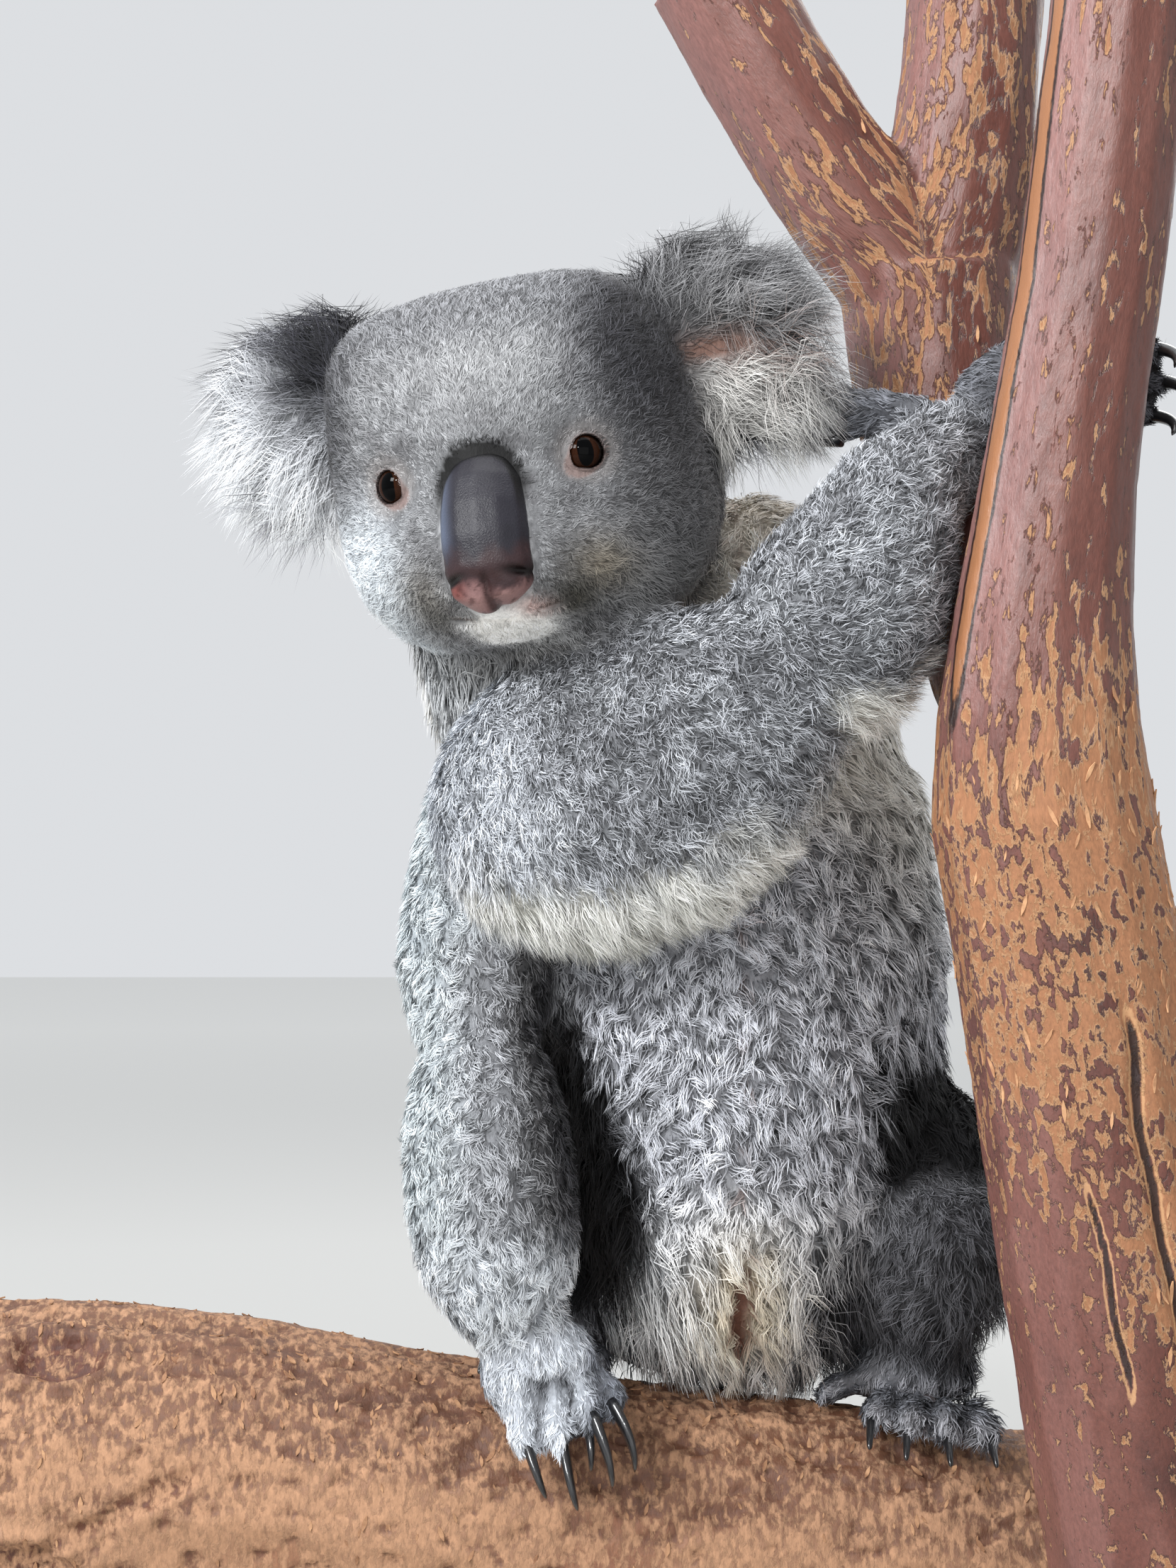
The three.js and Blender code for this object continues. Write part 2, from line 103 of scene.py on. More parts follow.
# What the coat is like on each part: how deep it stands on the skin, and its tufts' length
# and width (mm), their lift from the skin (degrees), how far they draw together into
# locks, how much they sag, how many layers of them cover the skin, how far they stray and
# swirl from the lie of the coat (radians), and how deep the gaps between the locks are,
# which also sets how much shade is painted into them.
COAT = {
    #                   depth length width lift  lock  sag layers stray swirl gap
    "head":            (1.9,  4.8,  0.40, 22,  0.15, 0.03, 2.9, 0.26, 0.14, 0.15),
    "ear_left":        (5.0, 20.5,  0.36, 29,  0.45, 0.20, 5.4, 0.24, 0.45, 0.40),
    "ear_right":       (5.0, 20.5,  0.36, 29,  0.45, 0.20, 5.4, 0.24, 0.45, 0.30),
    "neck":            (6.0, 13.0,  0.85, 32,  0.40, 0.20, 3.0, 0.35, 0.40, 0.45),
    "torso":           (6.0,  9.0,  0.55, 44,  0.60, 0.14, 3.2, 0.34, 1.00, 1.00),
    "upper_arm_left":  (4.4,  7.6,  0.44, 42,  0.30, 0.12, 3.2, 0.70, 0.55, 0.85),
    "forearm_left":    (4.2,  7.4,  0.46, 40,  0.30, 0.12, 3.0, 0.65, 0.55, 0.80),
    "hand_left":       (1.8,  5.5,  0.60, 24,  0.30, 0.05, 2.6, 0.30, 0.20, 0.30),
    "upper_arm_right": (4.2,  6.8,  0.46, 42,  0.45, 0.10, 3.2, 0.50, 0.70, 0.95),
    "forearm_right":   (4.0,  6.8,  0.46, 42,  0.45, 0.10, 3.2, 0.50, 0.70, 0.90),
    "hand_right":      (1.8,  5.4,  0.50, 20,  0.35, 0.05, 3.2, 0.22, 0.20, 0.25),
}
LEG_COAT = {
    "thigh":           (6.0,  9.5,  0.60, 36,  0.50, 0.15, 2.8, 0.40, 0.50, 0.60),
    "shin":            (4.6,  7.5,  0.50, 32,  0.40, 0.10, 2.8, 0.40, 0.40, 0.50),
    "foot":            (1.8,  5.5,  0.65, 22,  0.30, 0.05, 2.6, 0.25, 0.20, 0.30),
}
COAT |= {f"{part}_{side}": LEG_COAT[part] for part in LEG_COAT for side in ("left", "right")}
FLESH = list(COAT)
SKIN_VOXEL = 2.5 * MM
FLESH_GROWTH = 0.5 * MM  # closes the thin gaps between the solids

# The coat's pieces: the parts that each covers, its share of them ("front", "back" or
# all), the width of one lock (mm), the places along a tuft where it bends, and the most
# triangles that the piece may have.
HEAD_BORDER = 6 * MM  # how far in front of the head's middle its back piece starts
BODY_BORDER = 34 * MM  # and how far behind the body's
DARK_TUFT = 0.22  # how light a dark tuft's tip is, as a share of its neighbours'
GAP_SHADOW = 0.86  # how dark the gaps between the locks are
TIP_SHARE = ((0, 0.36, 0.5, 0.72, 1), (0, 0.42, 0.62, 0.9, 1))  # of the tip's colour
SHORT_TUFT = (0.0, 0.5, 1.0)
LONG_TUFT = (0.0, 0.36, 0.72, 1.0)
COAT_PIECES = {
    "coat_face_left": (("head",), "front left", 2.6, SHORT_TUFT, 140000),
    "coat_face_right": (("head",), "front right", 2.6, SHORT_TUFT, 140000),
    "coat_nape": (("head",), "back", 3.0, SHORT_TUFT, 75000),
    "coat_ears": (("ear_left", "ear_right"), "all", 4.5, LONG_TUFT, 155000),
    "coat_shoulder_left": (("upper_arm_left",), "all", 3.2, SHORT_TUFT, 190000),
    "coat_forearm_left": (("forearm_left", "hand_left"), "all", 3.2, SHORT_TUFT, 125000),
    "coat_arm_right": (("upper_arm_right", "forearm_right", "hand_right"), "all", 3.4,
                       SHORT_TUFT, 185000),
    "coat_belly": (("torso",), "front", 5.2, LONG_TUFT, 198000),
    "coat_neck": (("neck",), "all", 6.0, LONG_TUFT, 45000),
    "coat_back": (("torso",), "back", 7.0, LONG_TUFT, 85000),
    "coat_legs": (("thigh_left", "thigh_right", "shin_left", "shin_right", "foot_left",
                   "foot_right"), "all", 4.5, SHORT_TUFT, 150000),
}

# Each digit's root, knuckle and tip.
DIGITS = {
    "hand_right": [[[-21, -54, 196], [-24, -60, 184], [-21, -66, 170]],
                   [[-12, -55, 194], [-11, -63, 182], [-8, -69, 169]],
                   [[-2, -54, 198], [2, -61, 190], [3, -67, 179]],
                   [[4, -50, 201], [9, -56, 195], [10, -62, 184]],
                   [[-4, -47, 196], [0, -54, 186], [0, -61, 178]]],
    "hand_left": [[[176, -42, 570], [198, -46, 572], [207, -60, 568]],
                  [[176, -42, 559], [200, -46, 560], [209, -62, 556]],
                  [[174, -42, 548], [196, -46, 548], [205, -60, 544]],
                  [[132, -46, 550], [104, -40, 552], [80, -28, 556]],
                  [[122, -40, 551], [104, -38, 544], [84, -33, 538]]],
    "foot_left": [[[116, -6, 186], [107, -20, 182], [104, -28, 174]],
                  [[124, -8, 185], [119, -24, 181], [117, -33, 171]],
                  [[132, -8, 184], [132, -25, 179], [132, -34, 169]],
                  [[140, -6, 182], [145, -22, 177], [148, -31, 168]],
                  [[108, 14, 188], [94, 2, 186], [85, -6, 182]]],
    "foot_right": [[[-25, 8, 204], [-35, -4, 202], [-38, -13, 197]],
                   [[-17, 6, 203], [-22, -7, 201], [-24, -16, 194]],
                   [[-9, 6, 203], [-9, -7, 200], [-10, -16, 192]],
                   [[-1, 8, 202], [4, -5, 198], [4, -14, 191]],
                   [[3, 28, 200], [17, 18, 196], [24, 12, 192]]],
}

CLAWS = {
    "hand_right": [[[-21, -65, 175], [-18, -71, 167], [-14, -70, 157]],
                   [[-8, -68, 173], [-6, -74, 164], [-3, -72, 153]],
                   [[3, -66, 184], [7, -72, 174], [9, -70, 160]],
                   [[10, -61, 188], [15, -67, 179], [17, -66, 165]],
                   [[0, -60, 182], [1, -67, 176], [1, -67, 166]]],
    "hand_left": [[[206, -56, 569], [209, -68, 566], [207, -79, 559]],
                  [[208, -58, 557], [211, -70, 554], [209, -82, 547]],
                  [[204, -56, 545], [208, -68, 542], [206, -80, 535]],
                  [[86, -31, 555], [77, -22, 556], [76, -11, 553]],
                  [[89, -37, 538], [80, -29, 538], [78, -18, 535]]],
    "foot_left": [[[104, -27, 177], [103, -35, 171], [103, -40, 163]],
                  [[117, -32, 174], [116, -40, 168], [116, -45, 160]],
                  [[132, -33, 172], [132, -41, 166], [133, -46, 158]],
                  [[148, -30, 171], [149, -38, 165], [150, -43, 157]]],
    "foot_right": [[[-38, -12, 199], [-40, -20, 196], [-42, -25, 189]],
                   [[-24, -15, 196], [-25, -23, 193], [-26, -28, 186]],
                   [[-10, -15, 194], [-10, -23, 191], [-11, -28, 184]],
                   [[4, -13, 193], [5, -21, 190], [6, -26, 183]]],
}

skin = {}  # the skin's arrays, kept for the coat


# ---- numbers ----


def linear(colour):
    """A screen colour, each channel from 0 to 1, as scene-linear light."""
    c = np.asarray(colour, float)
    return np.where(c <= 0.04045, c / 12.92, ((c + 0.055) / 1.055) ** 2.4)


def ramp(value, start, end):
    """From 0 at start to 1 at end, smooth at both."""
    t = np.clip((value - start) / (end - start), 0, 1)
    return t * t * (3 - 2 * t)


def spot(points, centre, size):
    """1 at the centre of a soft round spot, fading over its size along each axis."""
    away = (points - np.asarray(centre)) / np.asarray(size)
    return np.exp(-0.5 * (away**2).sum(-1))


def bell(value, width):
    """1 where the value is 0, fading over the width to both sides."""
    return np.exp(-0.5 * (value / width) ** 2)


def unit(vectors):
    return vectors / np.maximum(np.linalg.norm(vectors, axis=-1, keepdims=True), 1e-12)


def to_head(points):
    return (points - HEAD_ORIGIN) @ HEAD_TURN


def from_head(points):
    return points @ HEAD_TURN.T + HEAD_ORIGIN


def grain(points, size, seed):
    """Smooth random values from -1 to 1, in blobs about `size` metres across."""
    place = points / size + seed * 7.31
    cell = np.floor(place).astype(np.int64)
    part = place - cell
    part = part * part * (3 - 2 * part)
    total = np.zeros(len(points))
    for corner in np.ndindex(2, 2, 2):
        k = (cell + corner) * (73856093, 19349663, 83492791)
        h = (k[:, 0] ^ k[:, 1] ^ k[:, 2] ^ (seed * 40503)) & 0xFFFFFFFF
        h = ((h ^ (h >> 13)) * 1274126177) & 0xFFFFFFFF
        h = ((h ^ (h >> 15)) * 2246822519) & 0xFFFFFFFF
        value = (h >> 8) / float(1 << 23) - 1
        total += value * np.prod(np.where(corner, part, 1 - part), axis=1)
    return total


def layered(points, size, seed, layers=3):
    """Grain at several sizes, each half the one before."""
    total = sum(grain(points, size / 2**i, seed + i) / 2**i for i in range(layers))
    return total / 1.5


def blended(base, colour, share):
    """Rows of base drawn towards one colour, or a colour per row, by a share per row."""
    return base + (np.asarray(colour) - base) * share[:, None]


# ---- meshes ----


def shown(name, data, material=None):
    """An object in the scene that has this data, and this material alone."""
    piece = bpy.data.objects.new(name, data)
    bpy.context.scene.collection.objects.link(piece)
    if material:
        data.materials.clear()
        data.materials.append(material)
    return piece


def settled(piece, slot, *nodes):
    """The piece, resting on the root, in place of the nodes. The slot is not used."""
    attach(piece, "root")
    if nodes:
        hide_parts(*nodes)
    return piece


def put_mesh(name, points, corners, sizes, material=None):
    """An object at the origin, from its points, the corners of its faces in one row, and
    each face's number of corners."""
    mesh = bpy.data.meshes.new(name)
    mesh.vertices.add(len(points))
    mesh.vertices.foreach_set("co", np.asarray(points, np.float32).ravel())
    if len(sizes):
        mesh.loops.add(len(corners))
        mesh.loops.foreach_set("vertex_index", np.asarray(corners, np.int32))
        mesh.polygons.add(len(sizes))
        starts = np.cumsum(sizes) - sizes
        mesh.polygons.foreach_set("loop_start", starts.astype(np.int32))
        mesh.polygons.foreach_set("use_smooth", np.ones(len(sizes), bool))
    mesh.update(calc_edges=True)
    return shown(name, mesh, material)


def read(collection, key, kind, width):
    values = np.empty(len(collection) * width, kind)
    collection.foreach_get(key, values)
    return values.reshape(-1, width) if width > 1 else values


def points_of(mesh):
    return read(mesh.vertices, "co", np.float32, 3).astype(float)


def normals_of(mesh):
    return read(mesh.vertex_normals, "vector", np.float32, 3).astype(float)


def triangles_of(mesh):
    mesh.calc_loop_triangles()
    return read(mesh.loop_triangles, "vertices", np.int32, 3)


def edges_of(mesh):
    return read(mesh.edges, "vertices", np.int32, 2)


def set_points(mesh, points):
    mesh.vertices.foreach_set("co", np.asarray(points, np.float32).ravel())
    mesh.update()


def set_colours(mesh, name, colours):
    """One colour per vertex, scene-linear."""
    layer = mesh.color_attributes.new(name, "FLOAT_COLOR", "POINT")
    values = np.ones((len(colours), 4), np.float32)
    values[:, :3] = np.clip(colours, 0, 1)
    layer.data.foreach_set("color", values.ravel())


def set_field(mesh, name, values):
    """One number or one vector per vertex."""
    values = np.asarray(values, np.float32)
    kind, key = ("FLOAT", "value") if values.ndim == 1 else ("FLOAT_VECTOR", "vector")
    mesh.attributes.new(name, kind, "POINT").data.foreach_set(key, values.ravel())


def averaged(values, edges):
    """Each vertex's value as the mean of its neighbours'."""
    a, b = edges.T
    count = len(values)
    degree = np.bincount(a, minlength=count) + np.bincount(b, minlength=count)
    total = np.empty_like(values, dtype=float)
    for k in range(values.shape[1]):
        total[:, k] = np.bincount(a, values[b, k], count) + np.bincount(b, values[a, k], count)
    return total / np.maximum(degree, 1)[:, None]


def smoothed(values, edges, rounds, share=0.5):
    for _ in range(rounds):
        values = values + share * (averaged(values, edges) - values)
    return values


def welded(node, growth=0.0):
    """A CAD node's points and triangles, its doubles merged, grown outwards a little."""
    bm = bmesh.new()
    bm.from_mesh(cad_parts[node].data)
    bmesh.ops.remove_doubles(bm, verts=bm.verts, dist=1e-5)
    bm.normal_update()
    points = np.array([v.co + v.normal * growth for v in bm.verts])
    faces = np.array([[v.index for v in f.verts] for f in bm.faces])
    bm.free()
    if node == "upper_arm_left":  # its fur stands up against the jaw
        points += np.outer(spot(points / MM, (32, -66, 464), (34, 34, 20)), (0, -0.2, 1)) * 9 * MM
    if node == "torso":  # its flank leans against the trunk
        flank = spot(points / MM, (118, 25, 372), (40, 60, 85))
        points += np.outer(flank, (1, -0.15, 0)) * 14 * MM
    return points, faces


def joined(parts):
    points, faces, start = [], [], 0
    for p, f in parts:
        points.append(p)
        faces.append(f + start)
        start += len(p)
    return np.concatenate(points), np.concatenate(faces)


def applied(piece):
    """The piece's mesh with its modifiers made real; the piece goes."""
    graph = bpy.context.evaluated_depsgraph_get()
    mesh = bpy.data.meshes.new_from_object(piece.evaluated_get(graph))
    bpy.data.objects.remove(piece)
    return mesh


def wrapped(parts, voxel):
    """One closed skin of even small squares round several solids, without inner shells."""
    points, faces = joined(parts)
    raw = put_mesh("raw", points, faces.ravel(), np.full(len(faces), 3))
    remesh = raw.modifiers.new("wrap", "REMESH")
    remesh.mode = "VOXEL"
    remesh.voxel_size = voxel
    mesh = applied(raw)
    edges = edges_of(mesh)
    label = np.arange(len(mesh.vertices))
    while True:
        low = np.minimum(label[edges[:, 0]], label[edges[:, 1]])
        new = label.copy()
        np.minimum.at(new, edges[:, 0], low)
        np.minimum.at(new, edges[:, 1], low)
        new = new[new]
        if (new == label).all():
            break
        label = new
    biggest = np.bincount(label).argmax()
    bm = bmesh.new()
    bm.from_mesh(mesh)
    loose = [v for v in bm.verts if label[v.index] != biggest]
    if loose:
        bmesh.ops.delete(bm, geom=loose, context="VERTS")
    bm.to_mesh(mesh)
    bm.free()
    return mesh


def surface_of(node):
    points, faces = welded(node)
    return BVHTree.FromPolygons(points.tolist(), faces.tolist()), points.min(0), points.max(0)


def distance_to(node, points, reach):
    """Each point's distance from a CAD node's surface, or twice the reach past it."""
    tree, low, high = surface_of(node)
    away = np.full(len(points), 2 * reach)
    near = ((points > low - reach) & (points < high + reach)).all(1)
    for i in np.flatnonzero(near):
        found = tree.find_nearest(points[i], reach)
        if found[3] is not None:
            away[i] = found[3]
    return away


def flattened(piece, margin):
    """Gives the piece a flat map of its own shape."""
    piece.data.uv_layers.new(name=UV_NAME)
    bpy.ops.object.select_all(action="DESELECT")
    piece.select_set(True)
    bpy.context.view_layer.objects.active = piece
    bpy.ops.object.mode_set(mode="EDIT")
    bpy.ops.mesh.select_all(action="SELECT")
    bpy.ops.uv.smart_project(island_margin=margin)
    bpy.ops.object.mode_set(mode="OBJECT")


def unwrapped(points, faces):
    """A flat map of a patch of surface: each triangle's corners from 0 to 1."""
    used, index = np.unique(faces, return_inverse=True)
    piece = put_mesh("unwrap", points[used], index.ravel(), np.full(len(faces), 3))
    flattened(piece, 0.002)
    flat = read(piece.data.uv_layers[UV_NAME].uv, "vector", np.float32, 2)
    bpy.data.objects.remove(piece)
    return flat.reshape(-1, 3, 2)


# ---- materials ----


def add_node(tree, kind, links=None, values=None, **settings):
    """A new node with its settings, its inputs' values and what feeds them."""
    node = tree.nodes.new(kind)
    for key, value in settings.items():
        setattr(node, key, value)
    for key, value in (values or {}).items():
        node.inputs[key].default_value = value
    for key, source in (links or {}).items():
        tree.links.new(source, node.inputs[key])
    return node


def worked_out(tree, operation, *values):
    """What a maths node makes of numbers and of other nodes' outputs."""
    node = add_node(tree, "ShaderNodeMath", operation=operation)
    for socket, value in zip(node.inputs, values):
        if isinstance(value, (int, float)):
            socket.default_value = value
        else:
            tree.links.new(value, socket)
    return node.outputs["Value"]


class Shade:
    """A material's node tree, with short calls for the nodes that it is made of."""

    def __init__(self, name, **settings):
        self.material = bpy.data.materials.new(name)
        self.material.use_nodes = True
        self.tree = self.material.node_tree
        self.shader = self.tree.nodes["Principled BSDF"]
        for key, value in settings.items():
            self.shader.inputs[key.replace("_", " ")].default_value = value

    def node(self, kind, links=None, values=None, **settings):
        return add_node(self.tree, kind, links, values, **settings)

    def link(self, source, target):
        self.tree.links.new(source, target)

    def attribute(self, name, output="Fac"):
        return self.node("ShaderNodeAttribute", attribute_name=name).outputs[output]

    def place(self, scale=(1, 1, 1)):
        """Object coordinates, scaled."""
        where = self.node("ShaderNodeTexCoord")
        return self.node("ShaderNodeMapping", {"Vector": where.outputs["Object"]},
                         {"Scale": scale}).outputs["Vector"]

    def noise(self, vector, scale, detail=4.0, rough=0.6, warp=0.0):
        return self.node("ShaderNodeTexNoise", {"Vector": vector}, {
            "Scale": scale, "Detail": detail, "Roughness": rough,
            "Distortion": warp}).outputs["Fac"]

    def cracks(self, vector, scale):
        return self.node("ShaderNodeTexVoronoi", {"Vector": vector}, {"Scale": scale},
                         feature="DISTANCE_TO_EDGE").outputs["Distance"]

    def maths(self, operation, *values):
        return worked_out(self.tree, operation, *values)

    def levels(self, value, stops):
        """A ramp of plain values, or of light; stops is [(place, value)]."""
        made = self.node("ShaderNodeValToRGB", {"Fac": value})
        band = made.color_ramp
        while len(band.elements) < len(stops):
            band.elements.new(0.5)
        for element, (where, level) in zip(band.elements, stops):
            element.position = where
            element.color = (*np.broadcast_to(level, 3), 1)
        return made.outputs["Color"]

    def times(self, a, b):
        return self.maths("MULTIPLY", a, b)

    def plus(self, a, b):
        return self.maths("ADD", a, b)

    def stops(self, value, stops):
        """A colour ramp; stops is [(place, screen colour)]."""
        return self.levels(value, [(where, linear(colour)) for where, colour in stops])

    def mix(self, share, a, b, blend="MIX"):
        made = self.node("ShaderNodeMix", data_type="RGBA", blend_type=blend)
        for socket, value in ((made.inputs["Factor"], share), (made.inputs[6], a),
                              (made.inputs[7], b)):
            if isinstance(value, (int, float)):
                socket.default_value = value
            elif isinstance(value, tuple):
                socket.default_value = (*linear(value), 1)
            else:
                self.link(value, socket)
        return made.outputs[2]

    def bump(self, height, strength, distance):
        made = self.node("ShaderNodeBump", {"Height": height},
                         {"Strength": strength, "Distance": distance})
        self.link(made.outputs["Normal"], self.shader.inputs["Normal"])

    def colour(self, output):
        self.link(output, self.shader.inputs["Base Color"])

    def roughness(self, output):
        self.link(output, self.shader.inputs["Roughness"])


def coat_material():
    shade = Shade("fur", Roughness=0.72, Sheen_Weight=0.10, Sheen_Roughness=0.5,
                  Specular_IOR_Level=0.22)
    shade.colour(shade.attribute("coat_colour", "Color"))
    return shade.material


def skin_material():
    shade = Shade("skin under the fur", Roughness=0.7, Specular_IOR_Level=0.3)
    base = shade.attribute("coat_colour", "Color")
    fine = shade.noise(shade.place((1, 1, 0.4)), 900, 3.0, 0.7)
    flecks = shade.levels(fine, [(0.3, 0.60), (0.7, 1.0)])
    shade.colour(shade.mix(1.0, base, flecks, "MULTIPLY"))
    shade.bump(fine, 0.5, 0.0006)
    return shade.material


# ---- the skin ----


def beside_line(points, line):
    """Each point's distance from each step of a line, and the steps' directions."""
    line = np.array(line, float) * MM
    steps = np.diff(line, axis=0)
    away = []
    for start, step in zip(line, steps):
        t = np.clip(((points - start) @ step) / (step @ step), 0, 1)
        away.append(np.linalg.norm(points - start - t[:, None] * step, axis=1))
    return np.array(away), unit(steps)


def along_line(points, line):
    """The direction of a limb's middle line beside each point."""
    away, ways = beside_line(points, line)
    share = np.exp(-(away - away.min(0)) / (9 * MM))
    share /= share.sum(0)
    return unit(share.T @ ways)


def eye_axes(side):
    """An eye's own axes in the head's frame: across towards the temple, up, and out along
    the way it looks."""
    out = unit(np.array([side * math.sin(EYE_OUT) * math.cos(EYE_UP),
                         -math.cos(EYE_OUT) * math.cos(EYE_UP), math.sin(EYE_UP)]))
    up = unit(np.array([0.0, 0.0, 1.0]) - out * out[2])
    across = np.cross(out, up) * side
    across *= np.sign(across[0] * side)
    return across, up, out


def eye_coordinates(points, side):
    """Head-frame points along an eye's own axes."""
    local = points - EYE_CENTRE * (side, 1, 1)
    return [local @ axis for axis in eye_axes(side)]


def lid_opening(across, up, radius):
    """How far the lids open in each direction: round, with a narrow inner corner."""
    turn = np.arctan2(up, across)
    corner = bell(np.abs(turn) - math.radians(143), 0.24) * (up < 0)
    return radius * (1 - 0.06 * np.sin(turn) ** 2 + 0.10 * corner)


def shape_lids(points, side, radius):
    """Opens the skin over one eye and wraps the lids round the eyeball."""
    across, up, out = eye_coordinates(points, side)
    r = np.hypot(across, up)
    near = (r < 19 * MM) & (out > -2 * MM)
    edge = lid_opening(across, up, radius)
    ball = np.sqrt(np.maximum(EYE_RADIUS**2 - r**2, 0))
    lid_radius = EYE_RADIUS + 1.0 * MM
    lid = np.sqrt(np.maximum(lid_radius**2 - r**2, 0))
    past = r - edge
    cover = 1 - ramp(past, 1.0 * MM, 7.5 * MM)
    rise = lid - out
    rise = np.where(rise < 0, rise * (1 - ramp(past, 0.8 * MM, 2.6 * MM)), rise)
    shaped = out + rise * cover * (r < lid_radius * 0.99)
    shaped = np.where(past < 0, np.minimum(ball - 1.6 * MM, out), shaped)
    rim = ramp(past, -0.5 * MM, 0.5 * MM)
    shaped = (ball - 1.6 * MM) * (1 - rim) + shaped * rim
    move = np.where(near, shaped - out, 0)
    return points + move[:, None] * eye_axes(side)[2]


def add_detail(mesh, centres, reach):
    """Splits the faces near some points in two each way."""
    bm = bmesh.new()
    bm.from_mesh(mesh)
    edges = [
        e for e in bm.edges
        if any(((e.verts[0].co + e.verts[1].co) / 2 - c).length < reach for c in centres)
    ]
    bmesh.ops.subdivide_edges(bm, edges=edges, cuts=1, use_grid_fill=True)
    bm.to_mesh(mesh)
    bm.free()


def part_shares(points):
    """How much of each part of the body a skin point belongs to."""
    reach = 14 * MM
    away = np.array([distance_to(node, points, reach) for node in FLESH])
    shares = np.exp(-((away - away.min(0)) / (3 * MM)) ** 2)
    return (shares / shares.sum(0)).T


def digit_lines(points, lines):
    """Each point's distance from the middle line of each digit, and the line's way."""
    near = [beside_line(points, line) for line in lines]
    return (np.array([away.min(0) for away, _ in near]),
            np.array([ways[away.argmin(0)] for away, ways in near]))


def digit_grooves(points, shares):
    """1 in the middle of the groove between two digits, 0 away from it."""
    groove = np.zeros(len(points))
    for paw, lines in DIGITS.items():
        mine = shares[:, FLESH.index(paw)]
        away, _ = digit_lines(points, lines)
        first, second = np.sort(away, 0)[:2]
        root = np.array([line[0] for line in lines], float).mean(0) * MM
        tip = np.array([line[2] for line in lines[:4]], float).mean(0) * MM
        out = ((points - root) @ (tip - root)) / ((tip - root) @ (tip - root))
        between = np.exp(-(((second - first) / (3.0 * MM)) ** 2))
        groove += between * ramp(out, -0.25, 0.25) * mine * (first < 12 * MM)
    return groove


def coat_flow(points, normals, shares):
    """The way the tips of the coat point on each part."""
    head = to_head(points)
    flow = np.zeros_like(points)
    for k, part in enumerate(FLESH):
        if part == "head":
            away = unit(head - NOSE_CENTRE)
            away[:, 2] -= 0.9 * ramp(head[:, 1], -10 * MM, 40 * MM)
            away[:, 2] -= 0.35 * ramp(-head[:, 2], 10 * MM, 50 * MM)
            way = away @ HEAD_TURN.T
        elif part.startswith("ear"):
            side = 1 if part == "ear_left" else -1
            away = unit(head - EAR_ROOT * (side, 1, 1))
            away[:, 2] -= 0.25
            way = away @ HEAD_TURN.T
        elif part in DIGITS:
            lines = [LIMB_LINES[part][-2:]] + DIGITS[part]
            away, ways = digit_lines(points, lines)
            near = np.exp(-away / (2.5 * MM))
            way = (near[..., None] * ways).sum(0)
        else:
            way = along_line(points, LIMB_LINES[part])
            way = way + (0, 0, -0.35)
            if part == "upper_arm_left":
                way = way + (0, 0, -0.7)
            if part == "torso":
                way = way + np.outer(ramp(-normals[:, 1], 0, 0.6), (0.55, 0, 0))
        flow += shares[:, k : k + 1] * unit(way)
    flow -= (flow * normals).sum(1)[:, None] * normals
    return unit(flow)


def shrink_ears(points, shares):
    """Draws each ear's skin in from the tips of its fringe towards its root."""
    head = to_head(points)
    for part, side in (("ear_left", 1), ("ear_right", -1)):
        k = FLESH.index(part)
        root = EAR_ROOT * (side, 1, 1)
        local = head - root
        reach = ramp(np.hypot(local[:, 0], local[:, 2]), 8 * MM, 60 * MM)
        small = root + local * (1 - 0.26 * reach[:, None])
        head += (small - head) * shares[:, k : k + 1]
    return from_head(head)


def pouch_slit(world):
    """1 in the upright slit low on the belly, 0 away from it."""
    x, _, z = world.T
    half = 3.6 * np.sqrt(np.clip(1 - ((z - 220) / 17) ** 2, 0, 1))
    return 1 - ramp(np.abs(x - 56 - 1.2 * np.sin(z / 6)) - half, -0.8, 1.0)


def body_hollow(world):
    """1 in the two shadowed hollows beside the belly: behind the hanging arm, and over the
    left thigh. World places in millimetres."""
    x, y, z = world.T
    right_edge = np.interp(z, (205, 217, 240, 254, 300, 341, 352),
                           (-9, -2, 17, 23, 8, -13, -22))
    beside_arm = ramp(right_edge - x, -5, 5) * (1 - ramp(z, 345, 357)) * (1 - ramp(y, 30, 50))
    left_edge = np.interp(z, (240, 312), (108, 103))
    over_thigh = (ramp(x - left_edge, -4, 5) * (1 - ramp(z, 308, 322)) * ramp(z, 216, 240)
                  * (1 - ramp(y, 40, 60)))
    return np.clip(beside_arm + over_thigh, 0, 1)


def nose_outline(x, z):
    """1 on the outline of the nose's pad, less inside it, in the head's millimetres."""
    wide, tall = np.abs(x / NOSE_HALF[0]), np.abs((z - NOSE_MIDDLE) / NOSE_HALF[1])
    return (wide**NOSE_SQUARE + tall**NOSE_SQUARE) ** (1 / NOSE_SQUARE)


def mouth_line(x):
    """How high the closed mouth is beside the middle of the face, in millimetres."""
    return -50.5 + 2.2 * (np.abs(x) / 20) ** 2


def past_nose(x, z):
    """How far outside the outline of the nose's pad a place is."""
    share = np.maximum(nose_outline(x, z), 0.1)
    return (1 - 1 / share) * np.hypot(x, z - NOSE_MIDDLE)


